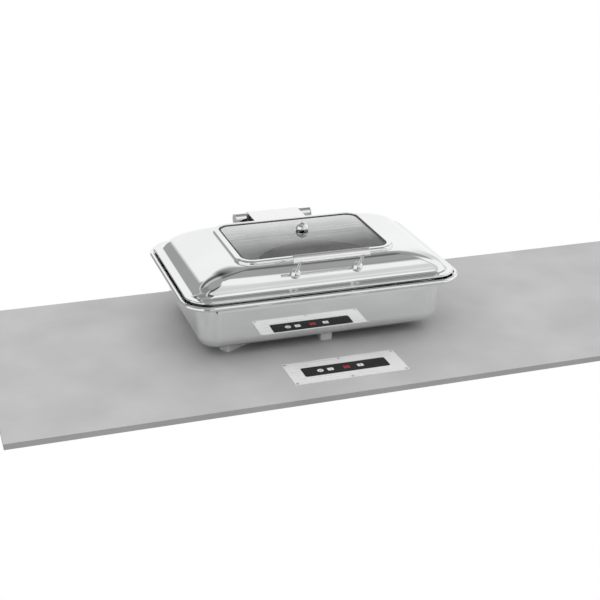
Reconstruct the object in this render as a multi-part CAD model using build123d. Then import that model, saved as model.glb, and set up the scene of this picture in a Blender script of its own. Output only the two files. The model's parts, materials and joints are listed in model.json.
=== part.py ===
from build123d import *
import math
import os

os.makedirs("parts", exist_ok=True)

# Induction food warmer for building in: a dish with a hinged lid on a spacer,
# a touch panel set flush in front of it, and the induction unit that hangs below.
# Millimetres, +Z up, front towards -Y. The origin lies on the mounting plane,
# under the middle of the dish.

# Room between the mounting plane and the unit below it
slot_height = 12.0

# Spacer under the dish
spacer_height = 16.0
spacer_arm_width = 25.0
spacer_arm_reach = 248.0
spacer_short_reach = 136.0
spacer_x = 13.0
spacer_y = 9.0
spacer_hub_dia = 110.0
spacer_wall = 3.0
spacer_arm_count = 6

# Water pan with its rolled rim
pan_width = 516.0
pan_depth = 320.0
pan_corner = 43.0
pan_draft = 1.0
pan_round = 26.0
pan_sheet = 1.2
base_width = 420.0
base_depth = 230.0
base_corner = 40.0
base_thickness = 4.0
rim_width = 585.0
rim_depth = 375.5
rim_corner = 57.7
rim_top = 128.0
bead_dia = 10.0
bead_slit = 3.0
ledge_drop = 3.5
seat_drop = 7.5

# Food pan of the full gastronorm size
food_flange_width = 530.0
food_flange_depth = 325.0
food_flange_corner = 45.0
food_width = 505.0
food_depth = 300.0
food_corner = 45.0
food_deep = 65.0
food_sheet = 1.0
food_round = 14.0
food_taper = 5.0
food_side_gap = 1.25

# Round serving pan that stands in the food pan
serving_rim_dia = 282.0
serving_base_dia = 200.0
serving_height = 59.0
serving_sheet = 1.6
serving_lip = 3.0
serving_x = 50.0

# Lid
lid_inset = 10.0
lid_gap = 1.0
lid_sheet = 1.2
lip_height = 5.6
lip_round = 2.0
flange_width = 20.0
dome_height = 41.9
dome_base_corner = 31.0
dome_top_corner = 37.0
dome_side_fullness = 1.6
dome_front_fullness = 1.6
dome_rear_fullness = 1.15
dome_steps = 5
cove_steps = 6
cove_radius = 10.0
plateau_margin = 2.0
bumper_dia = 7.0
bumper_gap = 0.2
bumper_y = 105.0

# Window in the lid
frame_width = 336.0
frame_depth = 234.0
frame_corner = 38.0
frame_height = 7.0
frame_band = 12.5
frame_sheet = 1.2
frame_round = 5.5
glass_width = 320.0
glass_depth = 218.0
glass_corner = 31.0
glass_thickness = 4.0
gasket_wall = 1.5
gasket_lip = 0.8
gasket_bed = 1.0
gasket_cover = 9.0
stud_dia = 3.0
stud_length = 14.0
stud_clearance = 0.3
nut_flats = 5.5
nut_height = 2.4

# Steam vent cap on the glass
vent_x = 13.0
vent_y = 36.0
vent_dome_dia = 27.5
vent_dome_height = 14.0
vent_neck_dia = 12.0
vent_neck_height = 3.0
vent_stem_dia = 8.0
vent_tip_dia = 4.0
vent_tip_height = 1.4
vent_stem_clearance = 0.2
vent_nut_dia = 18.0
vent_nut_height = 4.0
vent_washer = 1.0

# Lid handle
grip_x = 2.0
grip_half = 79.0
grip_chord = 17.0
grip_bulge = 3.6
grip_sheet = 2.0
grip_tilt = 49.8
grip_offset = 6.0
post_x = 65.0
post_dia = 6.5
post_length = 47.0
post_rise = 52.0
post_root = 39.0
post_inside = 11.0
post_clearance = 0.15
boss_dia = 20.5
boss_out = 3.0
post_nut_flats = 10.0
post_nut_height = 5.0

# Hinge behind the lid
hinge_y = 202.0
hinge_z = 157.0
barrel_dia = 25.0
barrel_half = 88.4
leaf_half = 58.0
leaf_sheet = 2.5
leaf_curl = 190.0
leaf_forward = 132.0
knuckle_gap = 3.5
pin_dia = 8.0
pin_clearance = 0.05
damper_dia = 18.0
damper_half = 46.0
cap_thickness = 2.0
bracket_sheet = 3.0
bracket_foot_height = 42.0
bracket_shelf_z = 97.0
bracket_back_clear = 3.0
bracket_ear_height = 8.0
foot_half = 45.0
foot_length = 34.0
foot_screw_pitch = 30.0
foot_screw_dia = 4.0
foot_screw_turn = 32.0
foot_screw_bite = 7.0

# Touch panel
panel_x = 5.0
panel_y = -258.0
panel_width = 234.0
panel_depth = 90.5
panel_sheet = 1.5
panel_corner = 2.0
panel_screw_inset = 5.0
panel_screw_dia = 3.5
panel_screw_head = 6.4
panel_screw_length = 11.0
panel_glass_width = 175.0
panel_glass_depth = 37.0
panel_glass_corner = 4.0
panel_glass_thickness = 2.0
panel_glass_gap = 0.4
panel_box_width = 192.0
panel_box_depth = 60.0
panel_box_deep = 26.0
panel_box_wall = 2.0
panel_box_corner = 4.0
panel_board_thickness = 1.6
panel_board_drop = 9.0
display_x = 2.5
display_width = 26.0
display_depth = 14.0
key_xs = (-52.0, -31.0, 31.0)
key_dia = 12.0
panel_socket_x = 60.0
panel_socket_width = 14.0
panel_socket_depth = 9.0

# Induction unit below the mounting plane
unit_width = 380.0
unit_depth = 280.0
unit_height = 72.0
unit_corner = 4.0
unit_sheet = 1.2
cover_thickness = 2.0
coil_dia = 168.0
coil_hole_dia = 44.0
coil_thickness = 5.0
coil_pitch = 178.0
carrier_thickness = 3.0
ferrite_count = 8
ferrite_length = 52.0
ferrite_width = 12.0
ferrite_thickness = 5.0
sensor_dia = 16.0
sensor_height = 7.0
carrier_post_dia = 10.0
carrier_post_x = 140.0
carrier_post_y = 57.0
slot_count = 12
slot_width = 3.5
slot_length = 26.0
slot_pitch = 9.0
grille_rib = 6.0
grille_margin = 5.0
tray_screw_dia = 4.0
tray_screw_head = 7.5
tray_screw_head_height = 2.4
tray_screw_end = 2.0
hanger_reach = 26.0
hanger_sheet = 2.5
hanger_depth = 240.0
hanger_drop = 30.0
hanger_hole_dia = 5.5
hanger_hole_spacing = 200.0
hanger_hole_out = 14.0
gland_x = 120.0
gland_dia = 16.0
gland_bore = 9.0
gland_nut = 4.5
gland_tail = 6.0
socket_x = -60.0
socket_dia = 12.0
socket_collar = 3.0
socket_length = 14.0
socket_deep = 9.0

# Power board and its cooling
board_width = 190.0
board_depth = 170.0
board_x = 70.0
board_thickness = 1.6
board_lift = 8.0
board_post_dia = 7.0
board_post_inset = 8.0
capacitor_dia = 18.0
capacitor_height = 26.0
capacitor_pitch = 24.0
capacitor_row_x = -40.0
capacitor_row_y = -55.0
block_capacitor_x = 42.0
block_capacitor_width = 32.0
block_capacitor_height = 24.0
sink_width = 100.0
sink_depth = 50.0
sink_height = 30.0
sink_base = 5.0
sink_fins = 9
sink_fin = 1.6
sink_y = 45.0
fan_screw_pitch = 82.5
fan_margin = 9.5
fan_size = fan_screw_pitch + fan_margin
fan_depth = 25.0
fan_x = -118.0
fan_wall = 2.0
fan_bore = fan_size - 2 * fan_wall
fan_strut = 4.0
fan_strut_height = 3.0
fan_bearing_height = 9.0
fan_screw_dia = 4.0
fan_screw_head = 7.0
fan_screw_head_height = 2.4
rotor_gap = 1.5
rotor_dia = fan_bore - 2 * rotor_gap
rotor_hub_dia = 34.0
rotor_hub_wall = 2.0
rotor_blades = 7
blade_pitch = 38.0
blade_width = 20.0
blade_sheet = 1.6
fan_shaft_dia = 3.0
fan_shaft_clearance = 0.05

# Heights that follow from the sizes above
pan_z = spacer_height + base_thickness
ledge_z = rim_top - ledge_drop
seat_z = ledge_z - seat_drop
bead_z = rim_top - bead_dia / 2
lid_width = rim_width - 2 * lid_inset
lid_depth = rim_depth - 2 * lid_inset
lid_corner = rim_corner - lid_inset
lid_edge_z = rim_top + lid_gap
flange_z = lid_edge_z + lip_height
plateau_z = flange_z + dome_height
frame_top = plateau_z + frame_height
glass_z = plateau_z + gasket_bed
glass_top = glass_z + glass_thickness
leaf_top = hinge_z + barrel_dia / 2 + leaf_sheet
unit_top = -slot_height
unit_floor = unit_top - unit_height


def slab(width, depth, corner, low, high, x=0.0, y=0.0):
    outline = Pos(x, y, low) * RectangleRounded(width, depth, corner)
    return extrude(outline, high - low)


def block(width, depth, low, high, x=0.0, y=0.0):
    outline = Pos(x, y, low) * Rectangle(width, depth)
    return extrude(outline, high - low)


def disc(dia, low, high, x=0.0, y=0.0):
    outline = Pos(x, y, low) * Circle(dia / 2)
    return extrude(outline, high - low)


def hexagon(flats, low, high, x=0.0, y=0.0):
    outline = Pos(x, y, low) * RegularPolygon(flats / 2, 6, major_radius=False)
    return extrude(outline, high - low)


def rod(start, direction, length, dia):
    return Solid.make_cylinder(dia / 2, length, Plane(origin=start, z_dir=direction))


def bar_along_x(dia, left, right, y, z):
    return rod((left, y, z), (1, 0, 0), right - left, dia)


def top_edges(solid):
    return solid.faces().sort_by(Axis.Z)[-1].edges()


def bottom_edges(solid):
    return solid.faces().sort_by(Axis.Z)[0].edges()


# The dome of the lid is a family of rounded outlines. Each turn from 0 to 90 degrees
# gives one outline: level at the plateau, steep lower down, and led out into the flange
# by a cove.
def dome_outline(turn, inset):
    rise = dome_height * math.sin(turn)
    low = max(1 - rise / cove_radius, 0.0)
    spread = cove_radius * (1 - math.sqrt(1 - low ** 2))
    upward = max(math.sin(turn), low)
    grow = spread - inset * math.sqrt(1 - upward ** 2)
    side = math.cos(turn) ** (2 / dome_side_fullness)
    front = math.cos(turn) ** (2 / dome_front_fullness)
    rear = math.cos(turn) ** (2 / dome_rear_fullness)
    side_in = frame_width / 2 + plateau_margin
    end_in = frame_depth / 2 + plateau_margin
    side_out = lid_width / 2 - flange_width
    end_out = lid_depth / 2 - flange_width
    half = side_in + (side_out - side_in) * side + grow
    front_y = -end_in - (end_out - end_in) * front - grow
    rear_y = end_in + (end_out - end_in) * rear + grow
    corner = dome_top_corner + (dome_base_corner - dome_top_corner) * side + grow
    return half, front_y, rear_y, corner, flange_z + rise - inset * upward


def dome_turns():
    turns = []
    for step in range(cove_steps):
        rise = cove_radius * (1 - math.cos(math.pi / 2 * step / cove_steps))
        turns.append(math.asin(rise / dome_height))
    first = math.asin(cove_radius / dome_height)
    for step in range(dome_steps):
        turns.append(first + (math.pi / 2 - first) * step / dome_steps)
    turns.append(math.pi / 2 - 1e-6)
    return turns


def dome(inset):
    outlines = []
    for turn in dome_turns():
        half, front_y, rear_y, corner, height = dome_outline(turn, inset)
        outline = RectangleRounded(2 * half, rear_y - front_y, corner)
        outlines.append(Pos(0, (front_y + rear_y) / 2, height) * outline)
    return loft(outlines[:cove_steps + 1], ruled=True) + loft(outlines[cove_steps:])


def dome_front_point(turn_degrees):
    outline = dome_outline(math.radians(turn_degrees), 0.0)
    return outline[1], outline[4]


def dome_rear_point(turn_degrees):
    outline = dome_outline(math.radians(turn_degrees), 0.0)
    return outline[2], outline[4]


def stud_places():
    half_x = frame_width / 2 - frame_sheet - stud_dia / 2 - stud_clearance
    half_y = frame_depth / 2 - frame_sheet - stud_dia / 2 - stud_clearance
    places = []
    for side in (-1, 1):
        places.append((side * half_x, 0.0))
        for along in (-1, 1):
            places.append((along * half_x / 2, side * half_y))
    return places


def post_line():
    root_y, root_z = dome_front_point(post_root)
    rise = math.radians(post_rise)
    return root_y, root_z, -math.cos(rise), math.sin(rise)


def foot_screw_line():
    low_y, low_z = dome_rear_point(foot_screw_turn - 1)
    high_y, high_z = dome_rear_point(foot_screw_turn + 1)
    run = math.hypot(high_y - low_y, high_z - low_z)
    out_y = (high_z - low_z) / run
    out_z = (low_y - high_y) / run
    return (low_y + high_y) / 2, (low_z + high_z) / 2, out_y, out_z


def rim_bead():
    outline = RectangleRounded(rim_width - bead_dia, rim_depth - bead_dia, rim_corner - bead_dia / 2)
    path = Pos(0, 0, bead_z) * outline.wires()[0]
    along = path % 0
    inward = Vector(0, 0, 1).cross(along)
    if inward.dot(path @ 0 - Vector(0, 0, bead_z)) > 0:
        inward = inward * -1
    section = Circle(bead_dia / 2) - Circle(bead_dia / 2 - pan_sheet)
    section -= Pos(bead_dia / 2 - pan_sheet, -bead_dia / 4) * Rectangle(bead_slit, bead_slit)
    plane = Plane(origin=path @ 0, x_dir=inward, z_dir=along)
    if plane.y_dir.Z < 0:
        plane = Plane(origin=path @ 0, x_dir=inward, z_dir=along * -1)
    return sweep(plane * section, path=path)


def pan_tub(sheet):
    outline = Pos(0, 0, seat_z) * RectangleRounded(
        pan_width - 2 * sheet, pan_depth - 2 * sheet, pan_corner - sheet)
    tub = extrude(outline, pan_z + sheet - seat_z, taper=pan_draft)
    return fillet(bottom_edges(tub), pan_round - sheet)


def water_pan():
    tub = pan_tub(0.0)
    seat_width = food_flange_width + 2 * food_side_gap
    seat_depth = food_flange_depth + 2 * food_side_gap
    seat_corner = food_flange_corner + food_side_gap
    seat = slab(seat_width + 2 * pan_sheet, seat_depth + 2 * pan_sheet, seat_corner + pan_sheet,
                seat_z - pan_sheet, ledge_z)
    ledge_side = 2 * bead_dia - pan_sheet
    ledge = slab(rim_width - ledge_side, rim_depth - ledge_side, rim_corner - ledge_side / 2,
                 ledge_z - pan_sheet, ledge_z)
    cavity = pan_tub(pan_sheet)
    recess = slab(seat_width, seat_depth, seat_corner, seat_z, ledge_z + 1)
    return tub + seat + ledge - cavity - recess + rim_bead()


def induction_base():
    plate = slab(base_width, base_depth, base_corner, spacer_height, pan_z)
    return chamfer(bottom_edges(plate), base_thickness / 4)


def food_pan():
    top = seat_z + food_sheet
    flange = slab(food_flange_width, food_flange_depth, food_flange_corner, seat_z, top)
    outer = Pos(0, 0, top) * RectangleRounded(food_width, food_depth, food_corner)
    outer = extrude(outer, -food_deep, taper=food_taper)
    outer = fillet(bottom_edges(outer), food_round)
    inner = Pos(0, 0, top) * RectangleRounded(
        food_width - 2 * food_sheet, food_depth - 2 * food_sheet, food_corner - food_sheet)
    inner = extrude(inner, food_sheet - food_deep, taper=food_taper)
    inner = fillet(bottom_edges(inner), food_round - food_sheet)
    return flange + outer - inner


def serving_pan():
    floor = seat_z + 2 * food_sheet - food_deep
    rim = floor + serving_height
    base = serving_base_dia / 2
    edge = serving_rim_dia / 2
    wall = serving_sheet
    profile = make_face(Polyline(
        (0, floor), (base, floor), (edge - serving_lip, rim - wall), (edge, rim - wall), (edge, rim),
        (edge - serving_lip - wall, rim), (base - wall, floor + wall), (0, floor + wall), close=True))
    turned = revolve(Plane.XZ * profile, Axis.Z)
    return Pos(serving_x, 0, 0) * turned


def lid_shell():
    flange = slab(lid_width, lid_depth, lid_corner, lid_edge_z, flange_z)
    flange = fillet(top_edges(flange), lip_round)
    under = slab(lid_width - 2 * lid_sheet, lid_depth - 2 * lid_sheet, lid_corner - lid_sheet,
                 lid_edge_z - 1, flange_z - lid_sheet)
    throat = slab(lid_width - 2 * flange_width, lid_depth - 2 * flange_width, dome_base_corner,
                  lid_edge_z - 1, flange_z)
    shell = flange + dome(0.0) - under - throat - dome(lid_sheet)
    opening_width = glass_width - 2 * gasket_cover
    opening_depth = glass_depth - 2 * gasket_cover
    shell -= slab(opening_width, opening_depth, glass_corner - gasket_cover,
                  plateau_z - 4 * lid_sheet, plateau_z + lid_sheet)
    for x, y in stud_places():
        shell -= disc(stud_dia + 2 * stud_clearance, plateau_z - 4 * lid_sheet, plateau_z + lid_sheet, x, y)
    root_y, root_z, out_y, out_z = post_line()
    for side in (-1, 1):
        start = (grip_x + side * post_x, root_y - out_y * post_inside, root_z - out_z * post_inside)
        shell -= rod(start, (0, out_y, out_z), 2 * post_inside, post_dia + 2 * post_clearance)
    screw_y, screw_z, out_y, out_z = foot_screw_line()
    for place in (-1, 0, 1):
        start = (place * foot_screw_pitch, screw_y - out_y * 3 * lid_sheet, screw_z - out_z * 3 * lid_sheet)
        shell -= rod(start, (0, out_y, out_z), 6 * lid_sheet, foot_screw_dia + 2 * post_clearance)
    return shell


def lid_bumpers():
    group = []
    place_x = (lid_width - flange_width + cove_radius) / 2
    for side in (-1, 1):
        for end in (-1, 1):
            button = disc(bumper_dia, ledge_z + bumper_gap, flange_z - lid_sheet,
                          side * place_x, end * bumper_y)
            group.append(chamfer(bottom_edges(button), bumper_dia / 5))
    return Compound(children=group)


def window_frame():
    ring = slab(frame_width, frame_depth, frame_corner, plateau_z, frame_top)
    ring = fillet(top_edges(ring), frame_round)
    hollow = slab(frame_width - 2 * frame_sheet, frame_depth - 2 * frame_sheet, frame_corner - frame_sheet,
                  plateau_z - 1, frame_top - frame_sheet)
    hollow = fillet(top_edges(hollow), frame_round - frame_sheet)
    opening = slab(frame_width - 2 * frame_band, frame_depth - 2 * frame_band, frame_corner - frame_band,
                   plateau_z, frame_top + 1)
    return ring - hollow - opening


def window_glass():
    pane = slab(glass_width, glass_depth, glass_corner, glass_z, glass_top)
    hole = disc(vent_stem_dia + 2 * vent_stem_clearance, glass_z - 1, glass_top + 1, vent_x, vent_y)
    return pane - hole


def window_gasket():
    ring = slab(glass_width + 2 * gasket_wall, glass_depth + 2 * gasket_wall, glass_corner + gasket_wall,
                plateau_z, glass_top + gasket_lip)
    opening = slab(glass_width - 2 * gasket_cover, glass_depth - 2 * gasket_cover,
                   glass_corner - gasket_cover, plateau_z - 1, frame_top)
    pane = slab(glass_width, glass_depth, glass_corner, glass_z, glass_top)
    return ring - opening - pane


def frame_studs():
    top = frame_top - frame_sheet
    ring = window_frame()
    group = []
    for x, y in stud_places():
        stud = disc(stud_dia, top - stud_length, top, x, y) - ring
        group.append(stud.solids().sort_by(Axis.Z)[0])
    return Compound(children=group)


def frame_nuts():
    top = plateau_z - lid_sheet
    group = []
    for x, y in stud_places():
        nut = hexagon(nut_flats, top - nut_height, top, x, y)
        group.append(nut - disc(stud_dia, top - nut_height, top, x, y))
    return Compound(children=group)


def vent_cap():
    base = glass_top + vent_neck_height
    radius = vent_dome_dia / 2
    tip = vent_tip_dia / 2
    top = base + vent_dome_height
    stem = vent_stem_dia / 2
    neck = vent_neck_dia / 2
    stem_low = glass_z - vent_washer - vent_nut_height
    spring = base + vent_tip_height
    line = Polyline((tip, top + vent_tip_height), (0, top + vent_tip_height), (0, stem_low), (stem, stem_low),
                    (stem, glass_top), (neck, glass_top), (neck, base), (radius, base), (radius, spring))
    shoulder = (radius * math.sqrt(0.5), spring + (top - spring) * math.sqrt(0.5))
    curve = ThreePointArc((radius, spring), shoulder, (tip, top))
    close = Line((tip, top), (tip, top + vent_tip_height))
    profile = make_face([line, curve, close])
    return Pos(vent_x, vent_y, 0) * revolve(Plane.XZ * profile, Axis.Z)


def vent_nut():
    washer = disc(vent_nut_dia, glass_z - vent_washer, glass_z, vent_x, vent_y)
    nut = hexagon(vent_nut_dia * 0.8, glass_z - vent_washer - vent_nut_height, glass_z - vent_washer,
                  vent_x, vent_y)
    stem = disc(vent_stem_dia, glass_z - vent_washer - vent_nut_height, glass_z, vent_x, vent_y)
    return washer + nut - stem


def grip_frame():
    root_y, root_z, out_y, out_z = post_line()
    tilt = math.radians(grip_tilt)
    along = (math.cos(tilt), math.sin(tilt))
    facing = (-math.sin(tilt), math.cos(tilt))
    seat = (root_y + out_y * post_length, root_z + out_z * post_length)
    middle = (seat[0] + along[0] * grip_offset, seat[1] + along[1] * grip_offset)
    return middle, along, facing


def grip_section(lift, half_chord):
    middle, along, facing = grip_frame()
    low = (middle[0] - along[0] * half_chord + facing[0] * lift,
           middle[1] - along[1] * half_chord + facing[1] * lift)
    high = (middle[0] + along[0] * half_chord + facing[0] * lift,
            middle[1] + along[1] * half_chord + facing[1] * lift)
    crown = (middle[0] + facing[0] * (lift + grip_bulge), middle[1] + facing[1] * (lift + grip_bulge))
    return low, crown, high


def lid_grip():
    low, crown, high = grip_section(0.0, grip_chord / 2)
    low_out, crown_out, high_out = grip_section(grip_sheet, grip_chord / 2)
    inner = ThreePointArc(low, crown, high)
    outer = ThreePointArc(low_out, crown_out, high_out)
    profile = make_face([inner, Line(high, high_out), outer, Line(low_out, low)])
    strip = extrude(Plane.YZ.offset(grip_x) * profile, grip_half, both=True)
    return fillet(strip.edges().filter_by(Axis.X), grip_sheet / 4)


def grip_posts():
    root_y, root_z, out_y, out_z = post_line()
    group = []
    for side in (-1, 1):
        start = (grip_x + side * post_x, root_y - out_y * post_inside, root_z - out_z * post_inside)
        post = rod(start, (0, out_y, out_z), post_inside + post_length + grip_bulge + grip_sheet, post_dia)
        low, crown, high = grip_section(0.0, grip_chord / 2)
        beyond_low, beyond_crown, beyond_high = grip_section(2 * boss_dia, grip_chord / 2)
        near = ThreePointArc(low, crown, high)
        beyond = make_face([near, Line(high, beyond_high), Line(beyond_high, beyond_low),
                            Line(beyond_low, low)])
        group.append(post - extrude(Plane.YZ * beyond, 2 * grip_half, both=True))
    return Compound(children=group)


def grip_bosses():
    root_y, root_z, out_y, out_z = post_line()
    group = []
    for side in (-1, 1):
        centre = (grip_x + side * post_x, root_y + out_y * boss_out, root_z + out_z * boss_out)
        ball = Pos(*centre) * Sphere(boss_dia / 2)
        start = (grip_x + side * post_x, root_y - out_y * boss_dia, root_z - out_z * boss_dia)
        ball -= rod(start, (0, out_y, out_z), 3 * boss_dia, post_dia)
        ball -= dome(0.0)
        group.append(ball)
    return Compound(children=group)


def post_nuts():
    root_y, root_z, out_y, out_z = post_line()
    group = []
    for side in (-1, 1):
        start = (grip_x + side * post_x, root_y - out_y * post_inside, root_z - out_z * post_inside)
        plane = Plane(origin=start, x_dir=(1, 0, 0), z_dir=(0, out_y, out_z))
        nut = extrude(plane * RegularPolygon(post_nut_flats / 2, 6, major_radius=False), post_nut_height)
        group.append(nut - rod(start, (0, out_y, out_z), post_nut_height, post_dia))
    return Compound(children=group)


def hinge_leaf():
    outer = barrel_dia / 2 + leaf_sheet
    plate = block(2 * leaf_half, hinge_y - leaf_forward, leaf_top - leaf_sheet, leaf_top,
                  0.0, (hinge_y + leaf_forward) / 2)
    plate = fillet(plate.edges().filter_by(Axis.Z).sort_by(Axis.Y)[:2], leaf_sheet)
    ring = Circle(outer) - Circle(barrel_dia / 2)
    sweep_angle = math.radians(leaf_curl)
    wedge = make_face(Polyline(
        (0, 0), (0, 2 * outer), (2 * outer, 2 * outer), (2 * outer, -2 * outer),
        (-2 * outer * math.tan(sweep_angle - math.pi), -2 * outer), close=True))
    curl = extrude(Plane(origin=(-leaf_half, hinge_y, hinge_z), x_dir=(0, 1, 0), z_dir=(1, 0, 0)) *
                   (ring & wedge), 2 * leaf_half)
    return plate + curl - dome(0.0)


def hinge_knuckle():
    tube = bar_along_x(barrel_dia, -leaf_half, leaf_half, hinge_y, hinge_z)
    bore = bar_along_x(damper_dia, -damper_half, damper_half, hinge_y, hinge_z)
    pin_bore = bar_along_x(pin_dia + 2 * pin_clearance, -barrel_half, barrel_half, hinge_y, hinge_z)
    return tube - bore - pin_bore


def hinge_damper():
    body = bar_along_x(damper_dia, -damper_half, damper_half, hinge_y, hinge_z)
    return body - bar_along_x(pin_dia + 2 * pin_clearance, -barrel_half, barrel_half, hinge_y, hinge_z)


def hinge_barrels():
    group = []
    for side in (-1, 1):
        near = side * (leaf_half + knuckle_gap)
        far = side * (barrel_half - cap_thickness)
        tube = bar_along_x(barrel_dia, min(near, far), max(near, far), hinge_y, hinge_z)
        group.append(tube - bar_along_x(pin_dia, -barrel_half, barrel_half, hinge_y, hinge_z))
    return Compound(children=group)


def hinge_end_caps():
    group = []
    for side in (-1, 1):
        near = side * (barrel_half - cap_thickness)
        far = side * barrel_half
        cap = bar_along_x(barrel_dia, min(near, far), max(near, far), hinge_y, hinge_z)
        end = cap.faces().sort_by(Axis.X)[0 if side < 0 else -1]
        group.append(chamfer(end.edges(), cap_thickness / 2))
    return Compound(children=group)


def hinge_pin():
    reach = barrel_half - cap_thickness
    return bar_along_x(pin_dia, -reach, reach, hinge_y, hinge_z)


def hinge_bracket():
    wall_y = pan_depth / 2
    width = 2 * (barrel_half - cap_thickness)
    shelf_top = bracket_shelf_z + bracket_sheet
    low = shelf_top - bracket_foot_height
    foot = block(width, 2 * bracket_sheet, low, shelf_top, 0.0, wall_y) - pan_tub(0.0)
    rear_y = hinge_y + bracket_sheet / 2
    shelf = block(width, rear_y - wall_y, bracket_shelf_z, shelf_top, 0.0, (rear_y + wall_y) / 2)
    back_top = hinge_z - barrel_dia / 2 - leaf_sheet - bracket_back_clear
    back = block(width, bracket_sheet, bracket_shelf_z, back_top, 0.0, hinge_y)
    bracket = foot + shelf + back
    ear_inner = leaf_half + knuckle_gap
    ear_width = barrel_half - cap_thickness - ear_inner
    for side in (-1, 1):
        ear = block(ear_width, bracket_sheet, back_top, hinge_z, side * (ear_inner + ear_width / 2), hinge_y)
        cradle = block(ear_width, barrel_dia * 0.7, hinge_z - barrel_dia / 2 - bracket_ear_height / 2,
                       hinge_z - barrel_dia / 4, side * (ear_inner + ear_width / 2), hinge_y)
        bracket += ear + cradle
    return bracket - bar_along_x(barrel_dia, -barrel_half, barrel_half, hinge_y, hinge_z)


def hinge_foot():
    top = leaf_top - leaf_sheet
    rear = leaf_forward + foot_length
    body = block(2 * foot_half, foot_length, flange_z, top, 0.0, (rear + leaf_forward) / 2)
    cut = make_face(Polyline(
        (leaf_forward, flange_z), (rear, flange_z), (rear, top - 2 * leaf_sheet), close=True))
    body -= extrude(Plane.YZ * cut, foot_half, both=True)
    screw_y, screw_z, out_y, out_z = foot_screw_line()
    body -= dome(0.0)
    for place in (-1, 0, 1):
        start = (place * foot_screw_pitch, screw_y - out_y * foot_screw_dia, screw_z - out_z * foot_screw_dia)
        body -= rod(start, (0, out_y, out_z), foot_screw_dia + foot_screw_bite, foot_screw_dia)
    return body


def foot_screws():
    screw_y, screw_z, out_y, out_z = foot_screw_line()
    group = []
    for place in (-1, 0, 1):
        seat = 1.15 * lid_sheet
        head = 0.6 * foot_screw_dia
        start = (place * foot_screw_pitch, screw_y - out_y * seat, screw_z - out_z * seat)
        shank = rod(start, (0, out_y, out_z), seat + foot_screw_bite, foot_screw_dia)
        below = (place * foot_screw_pitch, start[1] - out_y * head, start[2] - out_z * head)
        group.append(shank + rod(below, (0, out_y, out_z), head, 2 * foot_screw_dia))
    return Compound(children=group)


def pan_spacer():
    star = disc(spacer_hub_dia, 0, spacer_height)
    for step in range(spacer_arm_count):
        angle = 30 + step * 360 / spacer_arm_count
        reach = spacer_arm_reach if angle in (30, 210) else spacer_short_reach
        arm = block(reach, spacer_arm_width, 0, spacer_height, reach / 2, 0.0)
        arm = fillet(arm.edges().filter_by(Axis.Z).sort_by(Axis.X)[-2:], spacer_wall)
        star += Rot(0, 0, angle) * arm
    for step in range(spacer_arm_count):
        angle = 30 + step * 360 / spacer_arm_count
        reach = spacer_arm_reach if angle in (30, 210) else spacer_short_reach
        start = spacer_hub_dia / 2 + spacer_wall
        length = reach - spacer_wall - start
        pocket = block(length, spacer_arm_width - 2 * spacer_wall, 0, spacer_height - spacer_wall,
                       start + length / 2, 0.0)
        star -= Rot(0, 0, angle) * pocket
    return Pos(spacer_x, spacer_y, 0) * star


def panel_screw_places():
    half_x = panel_width / 2 - panel_screw_inset
    half_y = panel_depth / 2 - panel_screw_inset
    places = []
    for along in (-1, 0, 1):
        for side in (-1, 1):
            places.append((panel_x + along * half_x, panel_y + side * half_y))
    return places


def panel_screw(x, y, clearance):
    head = panel_screw_head + 2 * clearance
    shank = panel_screw_dia + 2 * clearance
    sink = (panel_screw_head - panel_screw_dia) / 2
    cone = loft([Pos(x, y, panel_sheet - sink) * Circle(shank / 2),
                 Pos(x, y, panel_sheet) * Circle(head / 2)])
    return cone + disc(shank, panel_sheet - panel_screw_length, panel_sheet - sink, x, y)


def panel_plate():
    plate = slab(panel_width, panel_depth, panel_corner, 0, panel_sheet, panel_x, panel_y)
    plate -= slab(panel_glass_width + 2 * panel_glass_gap, panel_glass_depth + 2 * panel_glass_gap,
                  panel_glass_corner + panel_glass_gap, -1, panel_sheet + 1, panel_x, panel_y)
    for x, y in panel_screw_places():
        plate -= panel_screw(x, y, 0.0)
    return plate


def panel_screws():
    return Compound(children=[panel_screw(x, y, 0.0) for x, y in panel_screw_places()])


def panel_glass():
    return slab(panel_glass_width, panel_glass_depth, panel_glass_corner,
                panel_sheet - panel_glass_thickness, panel_sheet, panel_x, panel_y)


def panel_box():
    top = 0.0
    low = top - panel_box_deep
    box = slab(panel_box_width, panel_box_depth, panel_box_corner, low, top, panel_x, panel_y)
    inner = panel_box_wall * 2
    box -= slab(panel_box_width - inner, panel_box_depth - inner, panel_box_corner - panel_box_wall,
                low + panel_box_wall, top + 1, panel_x, panel_y)
    seat = slab(panel_box_width - inner, panel_box_depth - inner, panel_box_corner - panel_box_wall,
                top - panel_glass_thickness - panel_box_wall, panel_sheet - panel_glass_thickness,
                panel_x, panel_y)
    seat -= slab(panel_glass_width - 2 * inner, panel_glass_depth - 2 * inner, panel_glass_corner,
                 low, top + 1, panel_x, panel_y)
    return box + seat


def panel_board():
    top = -panel_board_drop
    board = slab(panel_box_width - 4 * panel_box_wall, panel_box_depth - 4 * panel_box_wall, panel_corner,
                 top - panel_board_thickness, top, panel_x, panel_y)
    return board


def panel_board_posts():
    half_x = panel_box_width / 2 - 4 * panel_box_wall
    half_y = panel_box_depth / 2 - 4 * panel_box_wall
    low = panel_box_wall - panel_box_deep
    top = -panel_board_drop - panel_board_thickness
    group = []
    for side in (-1, 1):
        for end in (-1, 1):
            group.append(disc(3 * panel_box_wall, low, top, panel_x + side * half_x, panel_y + end * half_y))
    return Compound(children=group)


def panel_display():
    return block(display_width, display_depth, -panel_board_drop, panel_sheet - panel_glass_thickness,
                 panel_x + display_x, panel_y)


def touch_springs():
    group = []
    for key in key_xs:
        pad = disc(key_dia, -panel_board_drop, panel_sheet - panel_glass_thickness, panel_x + key, panel_y)
        group.append(pad - disc(0.7 * key_dia, -panel_board_drop + 1, 1, panel_x + key, panel_y))
    return Compound(children=group)


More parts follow.
